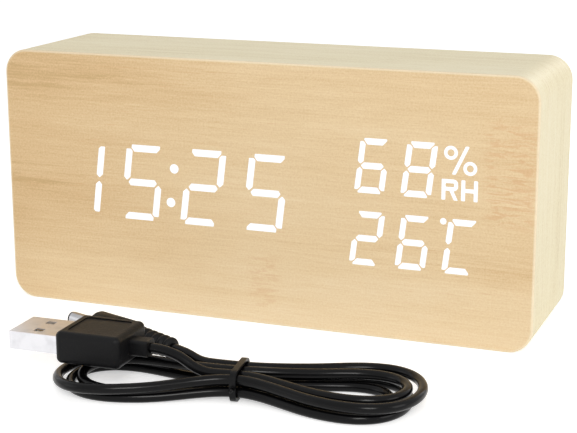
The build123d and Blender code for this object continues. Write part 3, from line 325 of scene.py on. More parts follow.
@dataclass(frozen=True)
class FaceMarks:
    """What is seen on the face alone, with places in millimetres and tones as shares."""

    half_width: float = 75.0
    half_height: float = 35.5
    corner_radius: float = 6.5
    rim_fade: Span = (0.75, 0.25)
    rise_to_right: float = 0.0015
    fall_to_ends: float = 0.002
    fall_upwards: float = 0.0044
    lift: float = 0.035
    pale_top: Span = (44.0, 58.0)
    pale_top_rise: float = 0.03
    belt: SoftSpan = (20.0, 31.0, 7.0)
    belt_depth: float = 0.06
    low_ends: Span = (36.0, 24.0)
    low_ends_start: float = 42.0
    low_ends_fall: float = 0.002
    ragged: Pattern = Pattern(0.035, 0.9, 0.0, 4.0, 0.65)
    ragged_step: Span = (0.42, 0.66)
    curl: Pattern = Pattern(0.16, 0.85, 0.0, 4.0, 0.65, 0.8)
    curl_step: Span = (0.45, 0.62)
    dark_bands: tuple[DarkBand, ...] = (
        DarkBand((60.0, 66.0, 3.0), (45.0, -55.0), 0.16),
        DarkBand((33.0, 38.5, 1.5), (-44.0, -62.0), 0.19),
        DarkBand((19.0, 23.0, 2.0), (5.0, 40.0), 0.12),
    )
    rosy_patches: tuple[RosyPatch, ...] = (
        RosyPatch((64.0, 72.5, 4.0), (36.0, 56.0, 6.0), 0.4),
        RosyPatch((0.0, 4.0, 4.0), (7.0, 17.0, 4.0), 0.26),
    )

    def tone(self, recipe: Recipe, x: Shade, level: Shade) -> Shade:
        """Gives how the face's wood darkens to the left and in its streaky bands.

        Args:
            recipe: the recipe that the bands belong to.
            x: the place along the width.
            level: the height, with the grain's drift.

        Returns:
            How much paler the wood is, as a tone, negative where it is darker.
        """
        ragged = recipe.noise(self.ragged, (x, level, 0.0)).step(*self.ragged_step)
        bands = ragged * sum(
            level.band(*band.level) * x.step(*band.fade) * band.depth for band in self.dark_bands)
        slope = x * self.rise_to_right - x.size() * self.fall_to_ends
        slope = slope - (level - self.half_height) * self.fall_upwards
        belt = level.step(*self.pale_top) * self.pale_top_rise - level.band(*self.belt) * self.belt_depth
        ends = (x.size() - self.low_ends_start).higher_of(0.0) * level.step(*self.low_ends)
        return slope + belt - ends * self.low_ends_fall - bands + self.lift

    def rosy_share(self, recipe: Recipe, x: Shade, z: Shade) -> Shade:
        """Gives the share of the rosy figure that crosses the grain at the right and low in the middle.

        Args:
            recipe: the recipe that the figure belongs to.
            x: the place along the width.
            z: the height.

        Returns:
            The share of the figure.
        """
        curl = recipe.noise(self.curl, (x, z, 0.0)).step(*self.curl_step)
        return curl * sum(
            x.band(*patch.across) * z.band(*patch.up) * patch.strength for patch in self.rosy_patches)

    def rim(self, x: Shade, z: Shade) -> Shade:
        """Marks the narrow arris around the face, where a painted highlight stands for the light that
        its lacquer catches.

        Args:
            x: the place along the width.
            z: the height.

        Returns:
            The share of the painted highlight on the rim.
        """
        inner_width = self.half_width - self.corner_radius
        inner_height = self.half_height - self.corner_radius
        across = (x.size() - inner_width).higher_of(0.0)
        up = ((z - self.half_height).size() - inner_height).higher_of(0.0)
        reach = (across * across + up * up) ** 0.5
        start, end = self.rim_fade
        return reach.step(self.corner_radius - start, self.corner_radius - end)


@dataclass(frozen=True)
class Veneer:
    """Pale sliced wood under a thin satin lacquer."""

    name: str
    grain: Grain
    darkest: Colour
    deep: Colour
    middle: Colour
    pale: Colour
    rosy: Colour
    contrast: float = 1.0
    # Painted highlight: the paler colour of the face's arris, where its lacquer would catch the light.
    arris_highlight_colour: Colour = shade_of(251, 241, 216)
    arris_highlight_share: float = 0.5
    roughness: float = 0.52
    roughness_swing: float = 0.12
    shine: float = 0.3
    positions: tuple[float, ...] = (0.0, 0.2, 0.5, 0.85)
    side_turn: float = 0.3
    lean: float = 0.012
    drift: Pattern = Pattern(0.012, 0.02, 0.01, 1.0)
    drift_reach: float = 1.8
    fine: Pattern = Pattern(0.12, 3.4, 0.08, 4.0, 0.6)
    fine_tone: float = 0.5
    fine_height: float = 0.7
    streak: Pattern = Pattern(0.02, 0.7, 0.02, 3.0, 0.55)
    streak_tone: float = 0.3
    cloud: Pattern = Pattern(0.012, 0.05, 0.01, 2.0)
    cloud_tone: float = 0.35
    pores: Pattern = even(1.9, 3.0, 0.75)
    pore_tone: float = 0.75
    pore_height: float = 0.3
    dashes: Pattern = Pattern(0.1, 3.8, 0.08, 3.0, 0.62)
    dash_step: Span = (0.6, 0.74)
    dash_share: float = 0.5
    dash_height: float = 0.5
    patches: Pattern = Pattern(0.03, 0.25, 0.03, 2.0)
    patch_step: Span = (0.4, 0.62)
    bump_depth: float = 0.025
    bump_strength: float = 0.5

    def material(self) -> bpy.types.Material:
        """Makes the material.

        Returns:
            The material.
        """
        recipe = Recipe(bpy.data.materials.new(self.name))
        x, y, z = recipe.position()
        on_face = self.grain is Grain.ALONG_FACE
        sideways = (x + z * self.side_turn, y, z - x * self.side_turn)
        along, across, other = (x, z, y) if on_face else sideways
        place = (along, across, other)
        level = across + recipe.noise(self.drift, place).swing(self.drift_reach) + along * self.lean
        drifted = (along, level, other)
        fine = recipe.noise(self.fine, drifted)
        pores = recipe.noise(self.pores, (x, y, z))
        tone = HALFWAY + fine.swing(self.fine_tone * self.contrast)
        tone = tone + recipe.noise(self.streak, drifted).swing(self.streak_tone * self.contrast)
        tone = tone + recipe.noise(self.cloud, place).swing(self.cloud_tone * self.contrast)
        tone = tone + pores.swing(self.pore_tone)
        marks = FaceMarks()
        if on_face:
            tone = tone + marks.tone(recipe, x, level)
        colours = (self.darkest, self.deep, self.middle, self.pale)
        colour = recipe.ramp(tone, list(zip(self.positions, colours)))
        dashes = recipe.noise(self.dashes, drifted).step(*self.dash_step)
        patches = recipe.noise(self.patches, drifted).step(*self.patch_step)
        colour = recipe.blend(dashes * patches * (self.dash_share * self.contrast), colour, self.rosy)
        if on_face:
            colour = recipe.blend(marks.rosy_share(recipe, x, z), colour, self.rosy)
            # Painted highlight along the face's arris, paler where its lacquer would catch the light.
            colour = recipe.blend(marks.rim(x, z) * self.arris_highlight_share, colour, self.arris_highlight_colour)
        height = fine * self.fine_height - dashes * self.dash_height + pores * self.pore_height
        return recipe.surface({
            "Base Color": colour,
            "Roughness": self.roughness + fine.swing(self.roughness_swing),
            "Normal": recipe.bump(height, self.bump_depth, self.bump_strength),
            "Specular IOR Level": self.shine,
        })


@dataclass(frozen=True)
class Fibreboard:
    """Pressed brown wood fibre, as it shows on a cut edge."""

    name: str = "pressed_fibreboard"
    dark: Colour = shade_of(134, 104, 74)
    light: Colour = shade_of(178, 146, 110)
    clump: Pattern = even(0.9, 5.0, 0.7)
    clump_tone: float = 0.7
    layer: Pattern = Pattern(0.1, 1.3, 0.1, 3.0)
    layer_tone: float = 0.3
    positions: Span = (0.3, 0.7)
    roughness: float = 0.85
    roughness_swing: float = 0.1
    bump_depth: float = 0.12
    bump_strength: float = 0.7

    def material(self) -> bpy.types.Material:
        """Makes the material.

        Returns:
            The material.
        """
        recipe = Recipe(bpy.data.materials.new(self.name))
        place = recipe.position()
        clump = recipe.noise(self.clump, place)
        tone = clump * self.clump_tone + recipe.noise(self.layer, place) * self.layer_tone
        return recipe.surface({
            "Base Color": recipe.ramp(tone, list(zip(self.positions, (self.dark, self.light)))),
            "Roughness": self.roughness + clump.swing(self.roughness_swing),
            "Normal": recipe.bump(clump, self.bump_depth, self.bump_strength),
        })


@dataclass(frozen=True)
class Moulding:
    """Moulded plastic or rubber with a fine spark-eroded grain."""

    name: str
    colour: Colour
    worn: Colour
    roughness: float = 0.5
    grain_size: float = 0.25
    grain_depth: float = 0.012
    shine: float = 0.5
    grain_detail: float = 2.0
    grain_roughness: float = 0.6
    grain_strength: float = 0.8
    grain_wear: float = 0.15
    grain_swing: float = 0.1
    cloud: Pattern = even(0.11, 3.0)
    cloud_wear: float = 0.25
    cloud_swing: float = 0.14

    def material(self) -> bpy.types.Material:
        """Makes the material.

        Returns:
            The material.
        """
        recipe = Recipe(bpy.data.materials.new(self.name))
        place = recipe.position()
        pattern = even(1 / self.grain_size, self.grain_detail, self.grain_roughness)
        grain = recipe.noise(pattern, place)
        cloud = recipe.noise(self.cloud, place)
        wear = cloud * self.cloud_wear + grain * self.grain_wear
        return recipe.surface({
            "Base Color": recipe.blend(wear, self.colour, self.worn),
            "Roughness": self.roughness + cloud.swing(self.cloud_swing) + grain.swing(self.grain_swing),
            "Normal": recipe.bump(grain, self.grain_depth, self.grain_strength),
            "Specular IOR Level": self.shine,
        })


@dataclass(frozen=True)
class Metal:
    """Drawn or plated metal with faint scratches along one direction."""

    name: str
    colour: Colour
    dull: Colour
    roughness: float = 0.25
    scratch: Pattern = Pattern(0.5, 7.0, 7.0, 3.0, 0.6)
    scratch_swing: float = 0.12
    scratch_depth: float = 0.003
    scratch_strength: float = 0.5
    smudge: Pattern = even(0.35, 3.0)
    smudge_step: Span = (0.4, 0.75)
    smudge_share: float = 0.5
    smudge_swing: float = 0.16

    def material(self) -> bpy.types.Material:
        """Makes the material.

        Returns:
            The material.
        """
        recipe = Recipe(bpy.data.materials.new(self.name))
        place = recipe.position()
        scratch = recipe.noise(self.scratch, place)
        smudge = recipe.noise(self.smudge, place)
        dullness = smudge.step(*self.smudge_step) * self.smudge_share
        roughness = self.roughness + smudge.swing(self.smudge_swing) + scratch.swing(self.scratch_swing)
        return recipe.surface({
            "Base Color": recipe.blend(dullness, self.colour, self.dull),
            "Metallic": 1.0,
            "Roughness": roughness,
            "Normal": recipe.bump(scratch, self.scratch_depth, self.scratch_strength),
        })


@dataclass(frozen=True)
class LitGuide:
    """Milky plastic that glows evenly from the lamp behind it."""

    name: str = "lit_guide"
    glow: Colour = WHITE
    rim: Colour = shade_of(246, 249, 255)
    milk: Colour = shade_of(120, 122, 126)
    strength: float = 0.8
    haze: Pattern = even(0.8)
    haze_in_milk: float = 0.2
    haze_in_glow: float = 0.4
    roughness: float = 0.5
    roughness_swing: float = 0.1

    def material(self) -> bpy.types.Material:
        """Makes the material.

        Returns:
            The material.
        """
        recipe = Recipe(bpy.data.materials.new(self.name))
        haze = recipe.noise(self.haze, recipe.position())
        return recipe.surface({
            "Base Color": recipe.blend(haze * self.haze_in_milk, self.milk, self.rim),
            "Roughness": self.roughness + haze.swing(self.roughness_swing),
            "Emission Color": recipe.blend(haze * self.haze_in_glow, self.glow, self.rim),
            "Emission Strength": self.strength,
        })


@dataclass(frozen=True)
class CircuitBoard:
    """Green varnish over copper tracks on a glass-fibre board."""

    name: str = "circuit_board"
    varnish: Colour = shade_of(22, 84, 48)
    track: Colour = shade_of(40, 112, 62)
    wander: Pattern = Pattern(0.09, 0.0, 0.09, 1.0)
    wander_reach: Span = (14.0, 11.0)
    track_pace: Span = (0.9, 0.7)
    track_step: Span = (0.12, 0.06)
    track_share: float = 0.8
    weave: Pattern = even(3.0, 1.0)
    weave_height: float = 0.1
    roughness: float = 0.32
    roughness_swing: float = 0.1
    bump_depth: float = 0.03
    bump_strength: float = 0.5
    coat: float = 0.3
    coat_roughness: float = 0.2

    def material(self) -> bpy.types.Material:
        """Makes the material.

        Returns:
            The material.
        """
        recipe = Recipe(bpy.data.materials.new(self.name))
        x, y, z = recipe.position()
        wander = recipe.noise(self.wander, (x, y, z))
        columns = (x * self.track_pace[0] + wander * self.wander_reach[0]).wave()
        rows = (z * self.track_pace[1] + wander * self.wander_reach[1]).wave()
        tracks = (columns * rows).size().step(*self.track_step)
        weave = recipe.noise(self.weave, (x, y, z))
        height = tracks + weave * self.weave_height
        return recipe.surface({
            "Base Color": recipe.blend(tracks * self.track_share, self.varnish, self.track),
            "Roughness": self.roughness + weave.swing(self.roughness_swing),
            "Normal": recipe.bump(height, self.bump_depth, self.bump_strength),
            "Coat Weight": self.coat,
            "Coat Roughness": self.coat_roughness,
        })


@dataclass(frozen=True)
class Jacket:
    """The soft satin jacket of a cord, faintly uneven along its length."""

    name: str
    colour: Colour
    scuffed: Colour
    roughness: float = 0.33
    shine: float = 0.16
    ripple: Pattern = even(0.55, 3.0)
    ripple_scuff: float = 0.4
    ripple_swing: float = 0.12
    ripple_height: float = 0.8
    dust: Pattern = even(3.5, 2.0, 0.7)
    dust_step: Span = (0.58, 0.8)
    dust_scuff: float = 0.3
    dust_roughness: float = 0.08
    dust_height: float = 0.2
    bump_depth: float = 0.04
    bump_strength: float = 0.5

    def material(self) -> bpy.types.Material:
        """Makes the material.

        Returns:
            The material.
        """
        recipe = Recipe(bpy.data.materials.new(self.name))
        place = recipe.position()
        ripple = recipe.noise(self.ripple, place)
        dust = recipe.noise(self.dust, place).step(*self.dust_step)
        scuff = dust * self.dust_scuff + (ripple - HALFWAY).size() * self.ripple_scuff
        height = ripple * self.ripple_height + dust * self.dust_height
        return recipe.surface({
            "Base Color": recipe.blend(scuff, self.colour, self.scuffed),
            "Roughness": self.roughness + ripple.swing(self.ripple_swing) + dust * self.dust_roughness,
            "Normal": recipe.bump(height, self.bump_depth, self.bump_strength),
            "Specular IOR Level": self.shine,
        })


@dataclass(frozen=True)
class StudioFloor:
    """White paper sweep, which keeps the shadows that fall on it."""

    name: str = "paper_sweep"
    paper: Colour = (0.96, 0.96, 0.96, 1.0)
    lift: float = 0.5
    tooth: Pattern = even(0.5)
    roughness: float = 0.9
    roughness_swing: float = 0.05

    def material(self) -> bpy.types.Material:
        """Makes the material.

        Returns:
            The material.
        """
        recipe = Recipe(bpy.data.materials.new(self.name))
        tooth = recipe.noise(self.tooth, recipe.position())
        paper = recipe.node("ShaderNodeBsdfPrincipled", values={
            "Base Color": self.paper,
            "Roughness": self.roughness + tooth.swing(self.roughness_swing),
            "Specular IOR Level": 0.0,
        })
        lift = recipe.seen_as_backdrop() * self.lift
        glow = recipe.node("ShaderNodeEmission", values={"Strength": lift})
        both = recipe.node("ShaderNodeAddShader", values={0: paper, 1: glow})
        return recipe.finish(both, "ShaderNodeOutputMaterial")


class Finish(Enum):
    """Every finish on the clock, by what it is."""

    FACE_VENEER = Veneer(
        "face_veneer", Grain.ALONG_FACE, shade_of(204, 171, 123), shade_of(220, 188, 142),
        shade_of(235, 209, 167), shade_of(247, 228, 194), shade_of(214, 160, 109), 0.9,
    )
    SIDE_VENEER = Veneer(
        "side_veneer", Grain.AROUND_SIDES, shade_of(196, 175, 130), shade_of(214, 196, 152),
        shade_of(240, 228, 191), shade_of(249, 241, 215), shade_of(210, 178, 138), 1.2,
        roughness=0.46, shine=0.26,
    )
    FIBREBOARD = Fibreboard()
    BLACK_ABS = Moulding("black_abs", shade_of(34, 34, 36), shade_of(52, 52, 55), 0.48)
    BLACK_NYLON = Moulding("black_nylon", shade_of(26, 26, 27), shade_of(44, 44, 46), 0.6, 0.4)
    SOFT_PLUG = Moulding("soft_plug", shade_of(9, 9, 10), shade_of(24, 24, 26), 0.42, 0.5, 0.08, 0.16)
    WHITE_ABS = Moulding("white_abs", shade_of(232, 232, 228), shade_of(214, 214, 208), 0.5)
    CREAM_NYLON = Moulding("cream_nylon", shade_of(222, 214, 190), shade_of(204, 194, 168), 0.55)
    CHIP_RESIN = Moulding("chip_resin", shade_of(28, 28, 30), shade_of(46, 46, 48), 0.66, 0.15)
    LAMP_RESIN = Moulding("lamp_resin", shade_of(240, 236, 206), shade_of(226, 220, 180), 0.3, 0.2)
    RIBBON_SLEEVE = Moulding("ribbon_sleeve", shade_of(150, 152, 156), shade_of(128, 130, 134), 0.45)
    RED_SLEEVE = Moulding("red_sleeve", shade_of(176, 28, 26), shade_of(140, 20, 20), 0.4)
    BUTTON_ABS = Moulding("button_abs", shade_of(26, 26, 28), shade_of(44, 44, 47), 0.34, 0.5, 0.006)
    NICKEL = Metal("nickel_plate", shade_of(224, 224, 228), shade_of(196, 196, 200), 0.36)
    BRIGHT_STEEL = Metal("bright_steel", shade_of(178, 178, 181), shade_of(140, 140, 143), 0.3)
    BLACK_STEEL = Metal("black_steel", shade_of(52, 52, 55), shade_of(36, 36, 38), 0.4)
    CONTACT_GOLD = Metal("contact_gold", shade_of(232, 190, 104), shade_of(200, 156, 80), 0.24)
    LIT_GUIDE = LitGuide()
    CIRCUIT_BOARD = CircuitBoard()
    CORD_JACKET = Jacket("cord_jacket", shade_of(6, 6, 7), shade_of(18, 18, 20), 0.2)
    TIE_SLEEVE = Jacket("tie_sleeve", shade_of(8, 8, 9), shade_of(24, 24, 26), 0.3)


class Wardrobe:
    """Makes each finish once and puts it on pieces."""

    def __init__(self) -> None:
        """Starts with nothing made."""
        self._made: dict[Finish, bpy.types.Material] = {}

    def dress(self, piece: bpy.types.Object, finish: Finish) -> None:
        """Gives a piece one finish all over.

        Args:
            piece: the piece.
            finish: its finish.
        """
        if finish not in self._made:
            self._made[finish] = finish.value.material()
        piece.data.materials.clear()
        piece.data.materials.append(self._made[finish])

    def dress_nodes(self, finishes: dict[Finish, Sequence[str]]) -> None:
        """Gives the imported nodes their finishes.

        Args:
            finishes: the names of the nodes that take each finish.
        """
        for finish, names in finishes.items():
            for name in names:
                self.dress(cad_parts[name], finish)
                log.info("dressed %s as %s", name, finish.name.lower())


class Workbench:
    """Modelling steps that several pieces share, done with Blender's own operators.

    Attributes:
        FACING: how much of a face's normal lies along an axis that the face looks along.
        ROUND_STRIPS: how many strips a rounded edge has.
        MERGE_DISTANCE: how near two points are that become one, in metres.
    """

    FACING = 0.9
    ROUND_STRIPS = 2
    MERGE_DISTANCE = 1e-7

    @staticmethod
    def clear() -> None:
        """Leaves edit mode and selects nothing."""
        if bpy.context.mode != "OBJECT":
            bpy.ops.object.mode_set(mode="OBJECT")
        bpy.ops.object.select_all(action="DESELECT")

    @staticmethod
    def take(piece: bpy.types.Object) -> bpy.types.Object:
        """Selects one piece and nothing else.

        Args:
            piece: the piece.

        Returns:
            The same piece.
        """
        Workbench.clear()
        piece.select_set(True)
        bpy.context.view_layer.objects.active = piece
        return piece

    @staticmethod
    def fix_place() -> None:
        """Takes the place, turn and size of what is selected into its mesh."""
        bpy.ops.object.transform_apply(location=True, rotation=True, scale=True)

    @staticmethod
    def cube(name: str, low: Vector, high: Vector) -> bpy.types.Object:
        """Adds a box between two corners.

        Args:
            name: the piece's name.
            low: its lowest corner.
            high: its highest corner.

        Returns:
            The new piece.
        """
        Workbench.clear()
        bpy.ops.mesh.primitive_cube_add(size=1.0, location=(low + high) / 2, scale=high - low)
        Workbench.fix_place()
        bpy.context.object.name = name
        return bpy.context.object

    @staticmethod
    def _drop_picks(piece: bpy.types.Object, kind: str) -> None:
        """Leaves a piece with nothing selected in it.

        Args:
            piece: the piece.
            kind: what is selected next, FACE or EDGE.
        """
        Workbench.take(piece)
        bpy.ops.object.mode_set(mode="EDIT")
        bpy.ops.mesh.select_mode(type=kind)
        bpy.ops.mesh.select_all(action="DESELECT")
        bpy.ops.object.mode_set(mode="OBJECT")

    @staticmethod
    def pick_faces(piece: bpy.types.Object, wanted: Callable[[Vector, Vector], bool]) -> None:
        """Enters edit mode with the wanted faces selected.

        Args:
            piece: the piece.
            wanted: tells from a face's middle and normal whether it is wanted.
        """
        Workbench._drop_picks(piece, "FACE")
        for face in piece.data.polygons:
            face.select = wanted(face.center, face.normal)
        bpy.ops.object.mode_set(mode="EDIT")

    @staticmethod
    def pick_edges(piece: bpy.types.Object, wanted: Callable[[Vector, Vector], bool]) -> None:
        """Enters edit mode with the wanted edges selected.

        Args:
            piece: the piece.
            wanted: tells from an edge's two ends whether it is wanted.
        """
        Workbench._drop_picks(piece, "EDGE")
        points = piece.data.vertices
        for edge in piece.data.edges:
            edge.select = wanted(points[edge.vertices[0]].co, points[edge.vertices[1]].co)
        bpy.ops.object.mode_set(mode="EDIT")

    @staticmethod
    def pull_out(x: float, y: float, z: float) -> None:
        """Extrudes the picked faces by a distance along each axis."""
        bpy.ops.mesh.extrude_region_move(TRANSFORM_OT_translate={"value": (x, y, z)})

    @staticmethod
    def copy(piece: bpy.types.Object, name: str) -> bpy.types.Object:
        """Copies a piece together with its mesh.

        Args:
            piece: the piece.
            name: the name of the copy.

        Returns:
            The copy.
        """
        Workbench.take(piece)
        bpy.ops.object.duplicate(linked=False)
        bpy.context.object.name = name
        return bpy.context.object

    @staticmethod
    def round_edges(piece: bpy.types.Object, width: float, angle: float = 50.0) -> None:
        """Rounds every edge sharper than an angle.

        Args:
            piece: the piece.
            width: the width of the rounding.
            angle: the sharpness that an edge needs, in degrees.
        """
        bevel = Workbench.take(piece).modifiers.new("rounding", "BEVEL")
        bevel.width = width
        bevel.segments = Workbench.ROUND_STRIPS
        bevel.limit_method = "ANGLE"
        bevel.angle_limit = radians(angle)
        bpy.ops.object.modifier_apply(modifier=bevel.name)

    @staticmethod
    def join(name: str, pieces: Sequence[bpy.types.Object]) -> bpy.types.Object:
        """Joins pieces into one.

        Args:
            name: the name of the joined piece.
            pieces: the pieces.

        Returns:
            The joined piece.
        """
        Workbench.clear()
        for piece in pieces:
            piece.select_set(True)
        bpy.context.view_layer.objects.active = pieces[0]
        bpy.ops.object.join()
        bpy.context.object.name = name
        return bpy.context.object

    @staticmethod
    def settle(piece: bpy.types.Object, place: Optional[Matrix] = None, angle: float = 35.0) -> None:
        """Moves a piece to its place, closes it and smooths its round parts.

        Args:
            piece: the piece.
            place: where it goes, or nothing if it was made in place.
            angle: the sharpest edge that is smoothed, in degrees.
        """
        Workbench.take(piece)
        if place is not None:
            piece.matrix_world = place
            Workbench.fix_place()
        bpy.ops.object.mode_set(mode="EDIT")
        bpy.ops.mesh.select_all(action="SELECT")
        bpy.ops.mesh.remove_doubles(threshold=Workbench.MERGE_DISTANCE)
        bpy.ops.mesh.normals_make_consistent(inside=False)
        bpy.ops.object.mode_set(mode="OBJECT")
        bpy.ops.object.shade_smooth_by_angle(angle=radians(angle))

    @staticmethod
    def turned(name: str, profile: Sequence[tuple[float, float]], sides: int) -> bpy.types.Object:
        """Draws a disc out along the X axis, ring by ring, like a piece on a lathe.

        Args:
            name: the piece's name.
            profile: places along the axis with their radii, from one end to the other.
            sides: how many strips go round.

        Returns:
            The turned piece, with closed ends.
        """
        Workbench.clear()
        place, radius = profile[0]
        bpy.ops.mesh.primitive_circle_add(
            vertices=sides, radius=radius, fill_type="NGON", location=(place, 0.0, 0.0),
            rotation=(0.0, -pi / 2, 0.0),
        )
        Workbench.fix_place()
        piece = bpy.context.object
        piece.name = name
        bpy.ops.object.mode_set(mode="EDIT")
        bpy.ops.mesh.select_all(action="SELECT")
        for next_place, next_radius in profile[1:]:
            Workbench.pull_out(next_place - place, 0.0, 0.0)
            ratio = next_radius / radius
            bpy.ops.transform.resize(value=(1.0, ratio, ratio))
            place, radius = next_place, next_radius
        bpy.ops.object.mode_set(mode="OBJECT")
        return piece


@dataclass(frozen=True)
class Lamp:
    """One square soft lamp, with its side in metres and its power in watts."""

    name: str
    place: tuple[float, float, float]
    size: float
    power: float
    tint: tuple[float, float, float] = (1.0, 1.0, 1.0)

    def build(self, aim: Vector) -> None:
        """Hangs the lamp and points it.

        Args:
            aim: where it points.
        """
        data = bpy.data.lights.new(self.name, "AREA")
        data.size = self.size
        data.energy = self.power
        data.color = self.tint
        lamp = bpy.data.objects.new(self.name, data)
        lamp.location = self.place
        lamp.rotation_euler = (aim - Vector(self.place)).to_track_quat("-Z", "Y").to_euler()
        bpy.context.scene.collection.objects.link(lamp)


@dataclass
class Studio:
    """The camera, the lamps and the white sweep."""

    azimuth: float = 21.3153
    elevation: float = 13.9033
    roll: float = -0.1542
    distance: float = 0.42419
    target: tuple[float, float, float] = (0.00132, 0.0, 0.0252)
    lens: float = 95.24
    sensor: float = 36.0
    nearest: float = 0.01
    farthest: float = 20.0
    surround: float = 0.5
    floor_reach: float = 3.0
    aim: tuple[float, float, float] = (0.0, 0.0, 0.03)
    warm: tuple[float, float, float] = (1.0, 0.985, 0.96)

    def camera(self) -> None:
        """Sets the camera at the photograph's place."""
        azimuth, elevation = radians(self.azimuth), radians(self.elevation)
        back = Vector((sin(azimuth) * cos(elevation), -cos(azimuth) * cos(elevation), sin(elevation)))
        right = Vector((cos(azimuth), sin(azimuth), 0.0))
        up = back.cross(right)
        turn = radians(self.roll)
        rolled_right = right * cos(turn) + up * sin(turn)
        rolled_up = up * cos(turn) - right * sin(turn)
        place = Matrix((rolled_right, rolled_up, back)).transposed().to_4x4()
        place.translation = Vector(self.target) + back * self.distance
        data = bpy.data.cameras.new("camera")
        data.lens = self.lens
        data.sensor_width = self.sensor
        data.clip_start = self.nearest
        data.clip_end = self.farthest
        camera = bpy.data.objects.new("camera", data)
        camera.matrix_world = place
        bpy.context.scene.collection.objects.link(camera)
        bpy.context.scene.camera = camera

    def lamps(self) -> None:
        """Hangs the soft lamps."""
        for lamp in (
            Lamp("key", (0.35, -0.95, 0.6), 0.35, 4.7, self.warm),
            Lamp("right_fill", (1.1, -0.2, 0.4), 0.6, 2.75, self.warm),
            Lamp("left_fill", (-1.0, -0.6, 0.4), 0.6, 1.0),
            Lamp("rear", (0.3, 1.0, 0.45), 0.4, 1.0),
        ):
            lamp.build(Vector(self.aim))

    def world(self) -> None:
        """Gives an even surround, which is seen as plain white."""
        recipe = Recipe(bpy.data.worlds.new("surround"))
        strength = recipe.seen_as_backdrop() * (1.0 - self.surround) + self.surround
        values = {"Color": WHITE, "Strength": strength}
        background = recipe.node("ShaderNodeBackground", values=values)
        bpy.context.scene.world = recipe.finish(background, "ShaderNodeOutputWorld")

    def sweep(self) -> None:
        """Lays the white floor."""
        Workbench.clear()
        bpy.ops.mesh.primitive_plane_add(size=2 * self.floor_reach)
        sweep = bpy.context.object
        sweep.name = "paper_sweep"
        sweep.data.materials.append(StudioFloor().material())

    def build(self) -> None:
        """Sets up everything around the clock."""
        self.camera()
        self.lamps()
        self.world()
        self.sweep()
        bpy.context.scene.view_settings.view_transform = "Standard"
        log.info("studio ready")


def add_piece(piece: bpy.types.Object, body: str) -> bpy.types.Object:
    """Makes a new piece part of the clock.

    Args:
        piece: the piece.
        body: the moving body that carries it.

    Returns:
        The same piece.
    """
    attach(piece, body)
    log.info("added %s", piece.name)
    return piece


@dataclass
class TwistTie:
    """The thin sleeved wire that is bent round the hank and twisted at both sides."""

    width: float = 0.0013
    half_span: float = 0.00685
    height: float = 0.0077
    corner_radius: float = 0.00235
    corner_strips: int = 6
    thickness: float = 0.0007
    bead_width: float = 0.0006
    bead_height: float = 0.00015
    tail_length: float = 0.0024
    tail_width: float = 0.0011
    tail_turns: float = 1.0
    tail_cuts: int = 9
    tail_rounding_share: float = 0.2
    tip_share: float = 0.35
    outward_limit: float = 1e-4

    def band(self) -> bpy.types.Object:
        """Makes the band with the bead of its wire core.

        Returns:
            The band.
        """
        side = self.half_span - self.bead_height
        low = Vector((-self.width / 2, -side, self.bead_height))
        high = Vector((self.width / 2, side, self.height - self.bead_height))
        band = Workbench.cube("twist_tie", low, high)
        Workbench.pick_edges(band, lambda start, end: abs(start.x - end.x) > self.width / 2)
        bpy.ops.mesh.bevel(offset=self.corner_radius, segments=self.corner_strips)
        Workbench.pick_faces(band, lambda middle, normal: abs(normal.x) > Workbench.FACING)
        bpy.ops.mesh.inset(thickness=self.thickness)
        bpy.ops.mesh.bridge_edge_loops()
        centre = Vector((0.0, 0.0, self.height / 2))
        Workbench.pick_faces(
            band, lambda middle, normal: normal.dot(middle - centre) > self.outward_limit)
        bpy.ops.mesh.inset(thickness=(self.width - self.bead_width) / 2)
        bpy.ops.transform.shrink_fatten(value=self.bead_height)
        return band

    def tail(self) -> bpy.types.Object:
        """Makes one twisted, pointed end of the wire, sticking out towards +Y.

        Returns:
            The end.
        """
        half = self.tail_width / 2
        root = self.half_span - self.thickness
        low = Vector((-half / 2, root, -half))
        high = Vector((half / 2, root + self.tail_length, half))
        tail = Workbench.cube("tie_tail", low, high)
        Workbench.pick_edges(tail, lambda start, end: abs(start.y - end.y) > self.tail_length / 2)
        bpy.ops.mesh.subdivide(number_cuts=self.tail_cuts)
        Workbench.pick_faces(tail, lambda middle, normal: normal.y > Workbench.FACING)
        bpy.ops.transform.resize(value=(self.tip_share, 1.0, self.tip_share))
        bpy.ops.object.mode_set(mode="OBJECT")
        twist = Workbench.take(tail).modifiers.new("twist", "SIMPLE_DEFORM")
        twist.deform_method = "TWIST"
        twist.deform_axis = "Y"
        twist.angle = 2 * pi * self.tail_turns
        bpy.ops.object.modifier_apply(modifier=twist.name)
        Workbench.round_edges(tail, half * self.tail_rounding_share)
        Workbench.settle(tail, Matrix.Translation(Vector((0.0, 0.0, self.height / 2))))
        return tail

    def build(self, wardrobe: Wardrobe, place: Matrix) -> list[bpy.types.Object]:
        """Makes the tie round the hank.

        Args:
            wardrobe: the finishes.
            place: the hank's place.

        Returns:
            The pieces of the tie.
        """
        far_tail = self.tail()
        near_tail = Workbench.copy(far_tail, "tie_tail_near")
        far_tail.name = "tie_tail_far"
        Workbench.settle(near_tail, Matrix.Rotation(pi, 4, "Z"))
        pieces = [self.band(), far_tail, near_tail]
        for piece in pieces:
            Workbench.settle(piece, place)
            wardrobe.dress(piece, Finish.TIE_SLEEVE)
            add_piece(piece, "clock")
        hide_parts("cord_tie")
        return pieces


